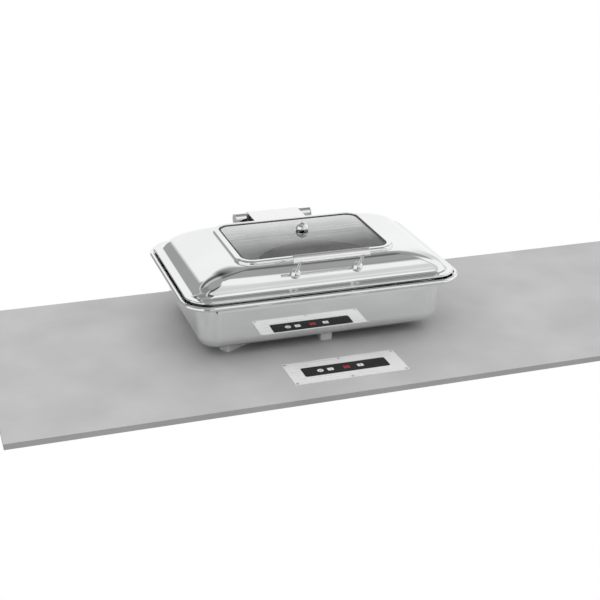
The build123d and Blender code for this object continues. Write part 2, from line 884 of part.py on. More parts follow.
def panel_socket():
    low = panel_box_wall - panel_box_deep
    return block(panel_socket_width, panel_socket_depth, low, -panel_board_drop - panel_board_thickness,
                 panel_x + panel_socket_x, panel_y)


def unit_tray():
    rim = unit_top - cover_thickness
    tray = slab(unit_width, unit_depth, unit_corner, unit_floor, rim)
    tray -= slab(unit_width - 2 * unit_sheet, unit_depth - 2 * unit_sheet, unit_corner - unit_sheet,
                 unit_floor + unit_sheet, rim + 1)
    first = -(slot_count - 1) * slot_pitch / 2
    slot_low = unit_floor + unit_sheet + slot_width
    for step in range(slot_count):
        place = first + step * slot_pitch
        tray -= block(4 * unit_sheet, slot_width, slot_low, slot_low + slot_length, unit_width / 2, place)
    grille_radius = fan_bore / 2 - grille_margin
    rows = int(2 * grille_radius / (2 * slot_width))
    for step in range(rows):
        place = (step - (rows - 1) / 2) * 2 * slot_width
        length = math.sqrt(grille_radius ** 2 - place ** 2) - grille_rib / 2
        for side in (-1, 1):
            tray -= block(length, slot_width, unit_floor - 1, unit_floor + unit_sheet + 1,
                          fan_x + side * (length + grille_rib) / 2, place)
    gland_z = unit_floor + unit_height / 2
    through = 4 * unit_sheet
    tray -= rod((gland_x, unit_depth / 2 - through, gland_z), (0, 1, 0), 2 * through, gland_dia)
    tray -= rod((socket_x, -unit_depth / 2 - through, gland_z), (0, 1, 0), 2 * through, socket_dia)
    for side in (-1, 1):
        for end in (-1, 1):
            tray -= hanger_screw(side, end)
    return tray


def unit_cover():
    return slab(unit_width, unit_depth, unit_corner, unit_top - cover_thickness, unit_top)


def unit_hangers():
    group = []
    for side in (-1, 1):
        wall = side * unit_width / 2
        drop = block(hanger_sheet, hanger_depth, unit_top - hanger_drop, unit_top,
                     wall + side * hanger_sheet / 2, 0)
        wing = block(hanger_reach, hanger_depth, unit_top - hanger_sheet, unit_top,
                     wall + side * hanger_reach / 2, 0)
        hanger = drop + wing
        for end in (-1, 1):
            hanger -= disc(hanger_hole_dia, unit_top - 2 * hanger_sheet, unit_top + 1,
                           wall + side * hanger_hole_out, end * hanger_hole_spacing / 2)
            hanger -= hanger_screw(side, end)
        group.append(hanger)
    return Compound(children=group)


def hanger_screw(side, end):
    start = side * (unit_width / 2 - unit_sheet - tray_screw_end)
    place = (start, end * hanger_depth / 3, unit_top - 0.65 * hanger_drop)
    length = unit_sheet + tray_screw_end + hanger_sheet
    shank = rod(place, (side, 0, 0), length, tray_screw_dia)
    head = (side * (unit_width / 2 + hanger_sheet), place[1], place[2])
    return shank + rod(head, (side, 0, 0), tray_screw_head_height, tray_screw_head)


def hanger_screws():
    return Compound(children=[hanger_screw(side, end) for side in (-1, 1) for end in (-1, 1)])


def coil_top():
    return unit_top - cover_thickness - 1.0


def coils():
    top = coil_top()
    group = []
    for side in (-1, 1):
        x = side * coil_pitch / 2
        group.append(disc(coil_dia, top - coil_thickness, top, x, 0) -
                     disc(coil_hole_dia, top - coil_thickness, top, x, 0))
    return Compound(children=group)


def coil_carrier():
    top = coil_top() - coil_thickness
    carrier = slab(coil_dia + coil_pitch + 8, coil_dia + 8, coil_dia / 2, top - carrier_thickness, top)
    for side in (-1, 1):
        carrier -= disc(sensor_dia, top - carrier_thickness, top, side * coil_pitch / 2, 0)
    return carrier


def ferrites():
    top = coil_top() - coil_thickness - carrier_thickness
    group = []
    for side in (-1, 1):
        for step in range(ferrite_count):
            angle = 360 * (step + 0.5) / ferrite_count
            start = coil_hole_dia / 2 + 4
            bar = block(ferrite_length, ferrite_width, top - ferrite_thickness, top,
                        start + ferrite_length / 2, 0)
            group.append(Pos(side * coil_pitch / 2, 0, 0) * (Rot(0, 0, angle) * bar))
    return Compound(children=group)


def pan_sensors():
    top = unit_top - cover_thickness
    group = []
    for side in (-1, 1):
        x = side * coil_pitch / 2
        group.append(disc(sensor_dia, top - sensor_height - carrier_thickness, top, x, 0))
    return Compound(children=group)


def carrier_post_places():
    return [(side * carrier_post_x, end * carrier_post_y) for side in (-1, 1) for end in (-1, 1)]


def carrier_posts():
    top = coil_top() - coil_thickness - carrier_thickness
    low = unit_floor + unit_sheet
    group = []
    for x, y in carrier_post_places():
        group.append(disc(carrier_post_dia, low, top, x, y))
    return Compound(children=group)


def board_low():
    return unit_floor + unit_sheet + board_lift


def power_board():
    low = board_low()
    board = slab(board_width, board_depth, 3, low, low + board_thickness, board_x, 0)
    for x, y in carrier_post_places():
        board -= disc(carrier_post_dia + 2, low, low + board_thickness, x, y)
    return board


def board_posts():
    group = []
    for side in (-1, 1):
        for end in (-1, 1):
            x = board_x + side * (board_width / 2 - board_post_inset)
            y = end * (board_depth / 2 - board_post_inset)
            group.append(disc(board_post_dia, unit_floor + unit_sheet, board_low(), x, y))
    return Compound(children=group)


def heat_sink():
    low = board_low() + board_thickness
    sink = block(sink_width, sink_depth, low, low + sink_base, board_x, sink_y)
    pitch = (sink_depth - sink_fin) / (sink_fins - 1)
    for step in range(sink_fins):
        y = sink_y - sink_depth / 2 + sink_fin / 2 + step * pitch
        sink += block(sink_width, sink_fin, low + sink_base, low + sink_height, board_x, y)
    return sink


def board_capacitors():
    low = board_low() + board_thickness
    group = []
    for step in range(3):
        x = board_x + capacitor_row_x + capacitor_pitch * step
        group.append(disc(capacitor_dia, low, low + capacitor_height, x, capacitor_row_y))
    group.append(block(block_capacitor_width, capacitor_dia, low, low + block_capacitor_height,
                       board_x + block_capacitor_x, capacitor_row_y))
    return Compound(children=group)


def fan_frame():
    low = unit_floor + unit_sheet
    frame = slab(fan_size, fan_size, 2 * fan_wall, low, low + fan_depth, fan_x, 0)
    frame -= disc(fan_bore, low - 1, low + fan_depth + 1, fan_x, 0)
    strut_top = low + fan_strut_height
    bearing_top = strut_top + fan_bearing_height
    for step in range(4):
        strut = block(fan_bore / 2, fan_strut, low, strut_top, fan_bore / 4, 0)
        frame += Pos(fan_x, 0, 0) * (Rot(0, 0, 45 + 90 * step) * strut)
    frame += disc(rotor_hub_dia - 2 * rotor_hub_wall, low, strut_top, fan_x, 0)
    frame += disc(3 * fan_shaft_dia, strut_top, bearing_top, fan_x, 0)
    frame -= disc(fan_shaft_dia + 2 * fan_shaft_clearance, low + fan_strut_height / 3, bearing_top + 1,
                  fan_x, 0)
    for side in (-1, 1):
        for end in (-1, 1):
            frame -= disc(fan_screw_dia, low - 1, low + fan_depth + 1, fan_x + side * fan_screw_pitch / 2,
                          end * fan_screw_pitch / 2)
    return frame


def fan_screws():
    low = unit_floor + unit_sheet
    group = []
    for side in (-1, 1):
        for end in (-1, 1):
            x = fan_x + side * fan_screw_pitch / 2
            y = end * fan_screw_pitch / 2
            screw = disc(fan_screw_dia, low, low + fan_depth, x, y)
            head_top = low + fan_depth + fan_screw_head_height
            group.append(screw + disc(fan_screw_head, low + fan_depth, head_top, x, y))
    return Compound(children=group)


def fan_rotor():
    low = unit_floor + unit_sheet
    hub_low = low + fan_strut_height + 1
    hub_top = low + fan_depth - rotor_gap
    hub = disc(rotor_hub_dia, hub_low, hub_top)
    hub -= disc(rotor_hub_dia - 2 * rotor_hub_wall, hub_low - 1, hub_top - rotor_hub_wall)
    hub += disc(fan_shaft_dia, low + fan_strut_height / 2, hub_top)
    reach = rotor_dia / 2
    for step in range(rotor_blades):
        start = (rotor_hub_dia - rotor_hub_wall) / 2
        blade = Box(reach - start, blade_width, blade_sheet)
        blade = Pos((reach + start) / 2, 0, (hub_low + hub_top) / 2) * (Rot(blade_pitch, 0, 0) * blade)
        hub += Rot(0, 0, 360 * step / rotor_blades) * blade
    keep = disc(rotor_dia, hub_low, hub_top) + disc(fan_shaft_dia, low, hub_top)
    return Pos(fan_x, 0, 0) * (hub & keep)


def mains_gland():
    gland_z = unit_floor + unit_height / 2
    inside = unit_depth / 2 - unit_sheet
    length = unit_sheet + 2 * gland_nut + gland_tail
    stem = rod((gland_x, inside - gland_nut, gland_z), (0, 1, 0), length, gland_dia)
    collar = rod((gland_x, unit_depth / 2, gland_z), (0, 1, 0), gland_nut, 1.45 * gland_dia)
    lock = rod((gland_x, inside - gland_nut, gland_z), (0, 1, 0), gland_nut, 1.4 * gland_dia)
    bore = rod((gland_x, inside - 2 * gland_nut, gland_z), (0, 1, 0), 2 * length, gland_bore)
    return stem + collar + lock - bore


def lead_socket():
    gland_z = unit_floor + unit_height / 2
    outside = -unit_depth / 2
    front = outside - socket_collar
    body = rod((socket_x, front, gland_z), (0, 1, 0), socket_length, socket_dia)
    collar = rod((socket_x, front, gland_z), (0, 1, 0), socket_collar, 1.4 * socket_dia)
    bore = rod((socket_x, front - 1, gland_z), (0, 1, 0), socket_deep + 1, 0.65 * socket_dia)
    return body + collar - bore


pieces = {
    "water_pan": water_pan,
    "induction_base": induction_base,
    "food_pan": food_pan,
    "serving_pan": serving_pan,
    "hinge_bracket": hinge_bracket,
    "hinge_barrels": hinge_barrels,
    "hinge_end_caps": hinge_end_caps,
    "hinge_pin": hinge_pin,
    "hinge_damper": hinge_damper,
    "lid_shell": lid_shell,
    "lid_bumpers": lid_bumpers,
    "window_frame": window_frame,
    "window_glass": window_glass,
    "window_gasket": window_gasket,
    "frame_studs": frame_studs,
    "frame_nuts": frame_nuts,
    "vent_cap": vent_cap,
    "vent_nut": vent_nut,
    "lid_grip": lid_grip,
    "grip_posts": grip_posts,
    "grip_bosses": grip_bosses,
    "post_nuts": post_nuts,
    "hinge_leaf": hinge_leaf,
    "hinge_knuckle": hinge_knuckle,
    "hinge_foot": hinge_foot,
    "foot_screws": foot_screws,
    "pan_spacer": pan_spacer,
    "panel_plate": panel_plate,
    "panel_glass": panel_glass,
    "panel_screws": panel_screws,
    "panel_box": panel_box,
    "panel_board": panel_board,
    "panel_board_posts": panel_board_posts,
    "panel_display": panel_display,
    "touch_springs": touch_springs,
    "panel_socket": panel_socket,
    "unit_tray": unit_tray,
    "unit_cover": unit_cover,
    "unit_hangers": unit_hangers,
    "hanger_screws": hanger_screws,
    "coil_carrier": coil_carrier,
    "coils": coils,
    "ferrites": ferrites,
    "pan_sensors": pan_sensors,
    "carrier_posts": carrier_posts,
    "power_board": power_board,
    "board_posts": board_posts,
    "heat_sink": heat_sink,
    "board_capacitors": board_capacitors,
    "fan_frame": fan_frame,
    "fan_rotor": fan_rotor,
    "fan_screws": fan_screws,
    "mains_gland": mains_gland,
    "lead_socket": lead_socket,
}

for name, make in pieces.items():
    export_step(make(), f"parts/{name}.step")
    print(name)
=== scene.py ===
import json
import math
import bpy
import bmesh
from mathutils import Matrix, Vector


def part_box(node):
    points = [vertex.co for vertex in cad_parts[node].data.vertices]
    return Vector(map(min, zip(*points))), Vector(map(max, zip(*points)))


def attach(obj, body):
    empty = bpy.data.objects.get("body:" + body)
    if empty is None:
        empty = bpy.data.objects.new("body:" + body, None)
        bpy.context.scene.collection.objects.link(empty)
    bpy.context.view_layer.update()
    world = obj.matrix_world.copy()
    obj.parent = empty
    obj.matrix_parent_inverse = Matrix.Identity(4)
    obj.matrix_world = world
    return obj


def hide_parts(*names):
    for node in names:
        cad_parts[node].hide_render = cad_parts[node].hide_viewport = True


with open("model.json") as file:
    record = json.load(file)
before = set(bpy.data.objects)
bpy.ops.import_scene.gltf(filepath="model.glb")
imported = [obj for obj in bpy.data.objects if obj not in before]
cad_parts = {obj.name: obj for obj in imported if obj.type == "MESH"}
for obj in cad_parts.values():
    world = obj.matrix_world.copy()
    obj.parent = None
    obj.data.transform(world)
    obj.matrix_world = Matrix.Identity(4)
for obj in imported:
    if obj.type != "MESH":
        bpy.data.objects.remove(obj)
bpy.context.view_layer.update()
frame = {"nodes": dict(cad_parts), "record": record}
bodies = {node: body for body, nodes in frame["record"]["behaviour"]["bodies"].items() for node in nodes}
bpy.ops.object.select_all(action="DESELECT")
mm = 0.001


# small helpers for selecting, edit mode and modifiers

outlineGap = 10 * mm


def chooseOnly(obj):
    bpy.ops.object.select_all(action="DESELECT")
    bpy.context.view_layer.objects.active = obj
    obj.select_set(True)


def startPiece(name):
    obj = bpy.data.objects.new(name, bpy.data.meshes.new(name))
    bpy.context.collection.objects.link(obj)
    chooseOnly(obj)
    bpy.ops.object.mode_set(mode="EDIT")
    bpy.ops.mesh.select_mode(type="VERT")
    return obj


def editMesh():
    mesh = bmesh.from_edit_mesh(bpy.context.edit_object.data)
    mesh.verts.ensure_lookup_table()
    return mesh


def pick(test):
    mesh = editMesh()
    for v in mesh.verts:
        v.select = bool(test(v))
    mesh.select_flush(True)
    mesh.select_flush(False)
    bmesh.update_edit_mesh(bpy.context.edit_object.data)


def addRoundedOutline(halfWidth, frontY, rearY, corner, height, steps):
    start = len(editMesh().verts)
    middle = (0, (frontY + rearY) / 2, height)
    bpy.ops.mesh.select_all(action="DESELECT")
    bpy.ops.mesh.primitive_plane_add(size=1, location=middle)
    bpy.ops.transform.resize(value=(2 * halfWidth, rearY - frontY, 1), center_override=middle)
    bpy.ops.mesh.bevel(offset=corner, segments=steps, affect="VERTICES")
    bpy.ops.mesh.delete(type="ONLY_FACE")
    return start


def addCircleOutline(radius, height, middle, steps):
    start = len(editMesh().verts)
    bpy.ops.mesh.select_all(action="DESELECT")
    bpy.ops.mesh.primitive_circle_add(vertices=steps, radius=radius, location=(middle[0], middle[1], height))
    return start


def layOutlines(spans, heights):
    mesh = editMesh()
    for (start, end), height in zip(spans, heights):
        for v in mesh.verts[start:end]:
            v.co.z = height
    bmesh.update_edit_mesh(bpy.context.edit_object.data)


def bridgeOutlines(starts, heights, closed):
    # a closed piece joins its last outline to its first, and any other is capped at both ends; the outlines
    # stand one above the other while they are bridged, so that level steps join cleanly too
    ends = starts[1:] + [len(editMesh().verts)]
    spans = list(zip(starts, ends))
    layOutlines(spans, [place * outlineGap for place in range(len(spans))])
    pairs = list(zip(spans[:-1], spans[1:]))
    if closed:
        pairs.append((spans[-1], spans[0]))
    for one, other in pairs:
        pick(lambda v: one[0] <= v.index < one[1] or other[0] <= v.index < other[1])
        bpy.ops.mesh.bridge_edge_loops()
    for start, end in () if closed else (spans[0], spans[-1]):
        pick(lambda v: start <= v.index < end)
        bpy.ops.mesh.edge_face_add()
    layOutlines(spans, heights)
    bpy.ops.mesh.select_all(action="SELECT")
    bpy.ops.mesh.normals_make_consistent(inside=False)


def roundedLoft(name, outlines, steps, closed=False):
    obj = startPiece(name)
    starts = [addRoundedOutline(*outline, steps) for outline in outlines]
    bridgeOutlines(starts, [outline[4] for outline in outlines], closed)
    bpy.ops.object.mode_set(mode="OBJECT")
    return obj


def turnedPiece(name, profile, steps, middle=(0, 0)):
    obj = startPiece(name)
    starts = [addCircleOutline(radius, height, middle, steps) for radius, height in profile]
    bridgeOutlines(starts, [height for radius, height in profile], closed=False)
    bpy.ops.object.mode_set(mode="OBJECT")
    return obj


def thickenSheet(obj, sheet, side, softness):
    thick = obj.modifiers.new("sheet", "SOLIDIFY")
    thick.thickness = sheet
    thick.offset = side
    soft = obj.modifiers.new("edges", "BEVEL")
    soft.width = softness
    soft.segments = 3
    soft.limit_method = "ANGLE"
    chooseOnly(obj)
    for modifier in (thick.name, soft.name):
        bpy.ops.object.modifier_apply(modifier=modifier)


def smoothPiece(obj, angle):
    chooseOnly(obj)
    bpy.ops.object.shade_smooth_by_angle(angle=math.radians(angle))
    even = obj.modifiers.new("evenNormals", "WEIGHTED_NORMAL")
    even.keep_sharp = True
    bpy.ops.object.modifier_apply(modifier=even.name)


def laySolid(obj, origin, direction):
    # the piece was made along +Z from the origin, and is now laid along its real line
    turn = Vector((0, 0, 1)).rotation_difference(Vector(direction)).to_matrix().to_4x4()
    obj.data.transform(turn)
    obj.data.transform(Matrix.Translation(Vector(origin)))


def joinPieces(name, objects):
    bpy.ops.object.select_all(action="DESELECT")
    for obj in objects:
        obj.select_set(True)
    bpy.context.view_layer.objects.active = objects[0]
    bpy.ops.object.join()
    objects[0].name = name
    return objects[0]


def dress(obj, node, slot, angle=35):
    smoothPiece(obj, angle)
    obj.data.materials.clear()
    obj.data.materials.append(finishes[slot])
    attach(obj, bodies[node])
    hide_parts(node)


def arcPoints(middleOut, middleUp, radius, first, last, steps):
    points = []
    for step in range(steps + 1):
        turn = math.radians(first + (last - first) * step / steps)
        points.append((middleOut + radius * math.cos(turn), middleUp + radius * math.sin(turn)))
    return points


def grown(base, out, height):
    # an outline given as half width, half depth and corner, made larger all round by out
    halfWidth, halfDepth, corner = base
    return halfWidth + out, -halfDepth - out, halfDepth + out, corner + out, height


# shared effects as node groups

def newGroup(name, inputs, outputs):
    group = bpy.data.node_groups.new(name, "ShaderNodeTree")
    for label, kind, value in inputs:
        socket = group.interface.new_socket(name=label, in_out="INPUT", socket_type=kind)
        socket.default_value = value
    for label, kind in outputs:
        group.interface.new_socket(name=label, in_out="OUTPUT", socket_type=kind)
    return group, group.nodes.new("NodeGroupInput"), group.nodes.new("NodeGroupOutput")


def mathNode(tree, operation, first, second=None, third=None):
    node = tree.nodes.new("ShaderNodeMath")
    node.operation = operation
    for socket, value in zip(node.inputs, (first, second, third)):
        if value is None:
            continue
        if isinstance(value, (int, float)):
            socket.default_value = value
        else:
            tree.links.new(value, socket)
    return node.outputs[0]


def noiseNode(tree, vector, scale, detail):
    node = tree.nodes.new("ShaderNodeTexNoise")
    node.inputs["Detail"].default_value = detail
    if isinstance(scale, (int, float)):
        node.inputs["Scale"].default_value = scale
    else:
        tree.links.new(scale, node.inputs["Scale"])
    tree.links.new(vector, node.inputs["Vector"])
    return node.outputs["Fac"]


scratchStretch = dict(scale=(30, 900, 300), turn=(0.2, 0.3, 0.5), threshold=0.68)
grainStretch = (12, 1600, 1600)


def makeHandledWear():
    # wiped and handled metal or plastic: broad smears and short fine scratches
    group, given, made = newGroup(
        "handledWear",
        [("Vector", "NodeSocketVector", (0, 0, 0)), ("Smear Size", "NodeSocketFloat", 8.0),
         ("Scratches", "NodeSocketFloat", 0.3)],
        [("Smear", "NodeSocketFloat"), ("Height", "NodeSocketFloat")])
    smear = noiseNode(group, given.outputs["Vector"], given.outputs["Smear Size"], 4.0)
    stretch = group.nodes.new("ShaderNodeMapping")
    stretch.inputs["Scale"].default_value = scratchStretch["scale"]
    stretch.inputs["Rotation"].default_value = scratchStretch["turn"]
    group.links.new(given.outputs["Vector"], stretch.inputs["Vector"])
    scratch = noiseNode(group, stretch.outputs[0], 1.0, 2.0)
    thin = mathNode(group, "GREATER_THAN", scratch, scratchStretch["threshold"])
    height = mathNode(group, "MULTIPLY", thin, given.outputs["Scratches"])
    group.links.new(smear, made.inputs["Smear"])
    group.links.new(height, made.inputs["Height"])
    return group


def makeBrushedGrain():
    # long parallel grinding lines along one axis
    group, given, made = newGroup(
        "brushedGrain",
        [("Vector", "NodeSocketVector", (0, 0, 0))],
        [("Grain", "NodeSocketFloat")])
    stretch = group.nodes.new("ShaderNodeMapping")
    stretch.inputs["Scale"].default_value = grainStretch
    group.links.new(given.outputs["Vector"], stretch.inputs["Vector"])
    group.links.new(noiseNode(group, stretch.outputs[0], 1.0, 2.0), made.inputs["Grain"])
    return group


handledWear = makeHandledWear()
brushedGrain = makeBrushedGrain()


def placeGroup(tree, group, vector):
    node = tree.nodes.new("ShaderNodeGroup")
    node.node_tree = group
    tree.links.new(vector, node.inputs["Vector"])
    return node


def toneRamp(tree, factor, *tones):
    # noise mostly stays near its middle, so the two tones stand close to it
    ramp = tree.nodes.new("ShaderNodeValToRGB")
    for element, place, tone in zip(ramp.color_ramp.elements, (0.35, 0.65), tones):
        element.position = place
        element.color = (*tone, 1)
    tree.links.new(factor, ramp.inputs[0])
    return ramp.outputs[0]


def remap(tree, factor, low, high, fromLow=0.3, fromHigh=0.7):
    node = tree.nodes.new("ShaderNodeMapRange")
    for label, value in (("From Min", fromLow), ("From Max", fromHigh), ("To Min", low), ("To Max", high)):
        node.inputs[label].default_value = value
    tree.links.new(factor, node.inputs["Value"])
    return node.outputs[0]


def blend(tree, first, second, share):
    return mathNode(tree, "ADD", mathNode(tree, "MULTIPLY", first, 1 - share),
                    mathNode(tree, "MULTIPLY", second, share))


# what a finish has unless its own entry says otherwise; bumpDepth is in metres
plainFinish = dict(smearSize=9.0, scratches=0.2, grain=0.0, pits=0, spangle=0, sway=0, swayDepth=1.0,
                   paintedCreaseReach=0.0, bump=0.1, bumpDepth=0.0002, metallic=0.0, ior=1.5, coat=0.0,
                   coatRoughness=0.05, specular=0.5, glow=None, clear=None)
# painted shade in narrow gaps: how shut in a spot is, from closed to open, and how much of its tone is left
# there
paintedCreaseShade = dict(samples=8, closed=0.24, open=0.50, dark=0.02, full=1.0)


def addPaintedCreaseShade(tree, colour, reach):
    # painted shade: the colour is darkened where narrow gaps between polished sheets would mirror each other
    # until they go dark
    shade = tree.nodes.new("ShaderNodeAmbientOcclusion")
    shade.samples = paintedCreaseShade["samples"]
    shade.inputs["Distance"].default_value = reach
    left = remap(tree, shade.outputs["AO"], paintedCreaseShade["dark"], paintedCreaseShade["full"],
                 paintedCreaseShade["closed"], paintedCreaseShade["open"])
    darker = tree.nodes.new("ShaderNodeMixRGB")
    darker.blend_type = "MULTIPLY"
    darker.inputs[0].default_value = 1.0
    tree.links.new(colour, darker.inputs[1])
    tree.links.new(left, darker.inputs[2])
    return darker.outputs[0]


def clearAlpha(tree, place, smear, clear):
    # clear thin glass mirrors by Fresnel and lets the rest straight through, with a faint film on it
    # and a painted reflection: a mirror share that thickens towards the rear
    mirror = tree.nodes.new("ShaderNodeFresnel")
    mirror.inputs["IOR"].default_value = clear["bend"]
    across = tree.nodes.new("ShaderNodeSeparateXYZ")
    tree.links.new(place, across.inputs[0])
    # painted reflection: more of the pane turns to mirror from front to rear
    paintedRearReflection = remap(tree, across.outputs["Y"], 0.0, clear["paintedRearReflection"], *clear["paintedRearReflectionSpan"])
    film = mathNode(tree, "ADD", remap(tree, smear, *clear["film"]), paintedRearReflection)
    inward = tree.nodes.new("ShaderNodeNewGeometry").outputs["Backfacing"]
    outward = mathNode(tree, "SUBTRACT", 1.0, inward)
    return mathNode(tree, "MULTIPLY", mathNode(tree, "ADD", mirror.outputs[0], film), outward)


def makeFinish(name, ownLook):
    look = {**plainFinish, **ownLook}
    material = bpy.data.materials.new(name)
    material.use_nodes = True
    tree = material.node_tree
    shader = tree.nodes["Principled BSDF"]
    place = tree.nodes.new("ShaderNodeTexCoord").outputs["Object"]
    wear = placeGroup(tree, handledWear, place)
    wear.inputs["Smear Size"].default_value = look["smearSize"]
    wear.inputs["Scratches"].default_value = look["scratches"]
    smear = wear.outputs["Smear"]
    height = wear.outputs["Height"]
    if look["grain"]:
        grain = placeGroup(tree, brushedGrain, place).outputs["Grain"]
        smear = blend(tree, smear, grain, look["grain"])
        height = mathNode(tree, "ADD", height, mathNode(tree, "MULTIPLY", grain, look["grain"]))
    if look["pits"]:
        height = mathNode(tree, "ADD", height, noiseNode(tree, place, look["pits"], 2.0))
    if look["spangle"]:
        cells = tree.nodes.new("ShaderNodeTexVoronoi")
        cells.inputs["Scale"].default_value = look["spangle"]
        tree.links.new(place, cells.inputs["Vector"])
        smear = blend(tree, smear, cells.outputs["Color"], 0.5)
    if look["sway"]:
        # pressed sheet is never quite flat, and a mirror finish shows it
        sway = noiseNode(tree, place, look["sway"], 1.0)
        height = mathNode(tree, "ADD", height, mathNode(tree, "MULTIPLY", sway, look["swayDepth"]))
    colour = toneRamp(tree, smear, look["dark"], look["light"])
    # painted shade in creases, multiplied into the base colour
    if look["paintedCreaseReach"]:
        colour = addPaintedCreaseShade(tree, colour, look["paintedCreaseReach"])
    tree.links.new(colour, shader.inputs["Base Color"])
    tree.links.new(remap(tree, smear, *look["roughness"]), shader.inputs["Roughness"])
    bump = tree.nodes.new("ShaderNodeBump")
    bump.inputs["Strength"].default_value = look["bump"]
    bump.inputs["Distance"].default_value = look["bumpDepth"]
    tree.links.new(height, bump.inputs["Height"])
    tree.links.new(bump.outputs[0], shader.inputs["Normal"])
    for label, key in (("Metallic", "metallic"), ("IOR", "ior"), ("Coat Weight", "coat"),
                       ("Coat Roughness", "coatRoughness"), ("Specular IOR Level", "specular")):
        shader.inputs[label].default_value = look[key]
    if look["glow"]:
        shader.inputs["Emission Color"].default_value = (*look["glow"], 1)
        shader.inputs["Emission Strength"].default_value = 1.0
    if look["clear"]:
        tree.links.new(clearAlpha(tree, place, smear, look["clear"]), shader.inputs["Alpha"])
    return material


# one entry for each finish of the record
finishLooks = {
    # polished steel gets painted shade in its narrow gaps, within 30 mm
    "polished_steel": dict(dark=(0.83, 0.835, 0.84), light=(0.88, 0.885, 0.89), metallic=1.0,
                           roughness=(0.015, 0.045), smearSize=5, scratches=0.05, sway=9, swayDepth=2.0,
                           bump=0.12, paintedCreaseReach=0.03),
    "base_steel": dict(dark=(0.30, 0.30, 0.31), light=(0.46, 0.46, 0.47), metallic=1.0, grain=0.6,
                       roughness=(0.30, 0.45), bump=0.2),
    "satin_steel": dict(dark=(0.84, 0.84, 0.845), light=(0.93, 0.93, 0.935), metallic=0.25, grain=0.3,
                        roughness=(0.26, 0.36), bump=0.08),
    "black_enamel": dict(dark=(0.010, 0.010, 0.011), light=(0.022, 0.022, 0.024), pits=900,
                         roughness=(0.22, 0.34), specular=0.25, bump=0.15),
    "brushed_steel": dict(dark=(0.50, 0.50, 0.51), light=(0.66, 0.66, 0.67), metallic=1.0, grain=0.6,
                          roughness=(0.24, 0.38), bump=0.2),
    "cap_plastic": dict(dark=(0.50, 0.51, 0.52), light=(0.60, 0.61, 0.62), pits=1400,
                        roughness=(0.35, 0.48), bump=0.2),
    "clear_rubber": dict(dark=(0.60, 0.61, 0.61), light=(0.72, 0.73, 0.73), pits=700,
                         roughness=(0.40, 0.55), bump=0.2),
    "black_rubber": dict(dark=(0.010, 0.010, 0.010), light=(0.020, 0.020, 0.020), pits=1200,
                         roughness=(0.38, 0.52), bump=0.25),
    "grip_steel": dict(dark=(0.89, 0.89, 0.89), light=(0.96, 0.96, 0.96), metallic=1.0, grain=0.35,
                       roughness=(0.20, 0.28), scratches=0.1, bump=0.08),
    "white_plastic": dict(dark=(0.72, 0.72, 0.71), light=(0.80, 0.80, 0.79), pits=1100,
                          roughness=(0.42, 0.55), bump=0.25),
    "panel_steel": dict(dark=(0.86, 0.86, 0.86), light=(0.93, 0.93, 0.93), metallic=0.3, grain=0.5,
                        roughness=(0.24, 0.34), scratches=0.1, bump=0.04),
    "panel_glass": dict(dark=(0.008, 0.008, 0.009), light=(0.014, 0.014, 0.015), smearSize=30,
                        roughness=(0.05, 0.10), specular=0.08, bump=0.03),
    "black_plastic": dict(dark=(0.018, 0.018, 0.019), light=(0.035, 0.035, 0.037), pits=1000,
                          roughness=(0.42, 0.58), bump=0.3),
    "circuit_board": dict(dark=(0.012, 0.10, 0.035), light=(0.03, 0.20, 0.07), spangle=260,
                          roughness=(0.30, 0.42), coat=0.3, bump=0.15),
    "display": dict(dark=(0.05, 0.004, 0.004), light=(0.09, 0.006, 0.006), smearSize=60,
                    roughness=(0.10, 0.18), bump=0.05),
    "spring_steel": dict(dark=(0.52, 0.50, 0.46), light=(0.68, 0.66, 0.62), metallic=1.0,
                         roughness=(0.18, 0.28), bump=0.1),
    "galvanised": dict(dark=(0.42, 0.44, 0.45), light=(0.62, 0.64, 0.65), metallic=1.0, spangle=140,
                       roughness=(0.34, 0.50), bump=0.15),
    "insulation": dict(dark=(0.50, 0.47, 0.41), light=(0.66, 0.63, 0.57), pits=500, smearSize=30,
                       roughness=(0.55, 0.72), bump=0.4),
    "carrier_plastic": dict(dark=(0.05, 0.05, 0.052), light=(0.09, 0.09, 0.092), pits=800,
                            roughness=(0.48, 0.62), bump=0.3),
    "copper": dict(dark=(0.48, 0.20, 0.10), light=(0.70, 0.34, 0.18), metallic=1.0, grain=0.5,
                   roughness=(0.26, 0.40), bump=0.4),
    "ferrite": dict(dark=(0.035, 0.035, 0.036), light=(0.07, 0.07, 0.072), pits=1600,
                    roughness=(0.45, 0.60), bump=0.35),
    "sensor_silicone": dict(dark=(0.62, 0.62, 0.61), light=(0.74, 0.74, 0.73), pits=900,
                            roughness=(0.45, 0.60), bump=0.25),
    "sink_aluminium": dict(dark=(0.62, 0.63, 0.64), light=(0.78, 0.79, 0.80), metallic=1.0, grain=0.5,
                           roughness=(0.28, 0.42), bump=0.2),
    "capacitor_sleeve": dict(dark=(0.02, 0.03, 0.07), light=(0.04, 0.05, 0.11), smearSize=40,
                             roughness=(0.18, 0.28), coat=0.3, bump=0.1),
    # the pane's mirror share grows towards the rear, a painted reflection
    "window_glass": dict(dark=(0.90, 0.91, 0.91), light=(0.95, 0.96, 0.96), smearSize=12, metallic=1.0,
                         roughness=(0.0, 0.02), scratches=0.02, bump=0.01,
                         clear=dict(bend=1.33, film=(0.0, 0.03), paintedRearReflection=0.60, paintedRearReflectionSpan=(-0.065, 0.095))),
}
finishes = {slot: makeFinish(slot, look) for slot, look in finishLooks.items()}
print("finishes made:", len(finishes))

# sizes read off the frame, in metres
lidLow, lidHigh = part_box("lid_shell")
panLow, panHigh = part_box("water_pan")
ringLow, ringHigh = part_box("window_frame")
glassLow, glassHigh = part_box("window_glass")


# the lid's pressed shell

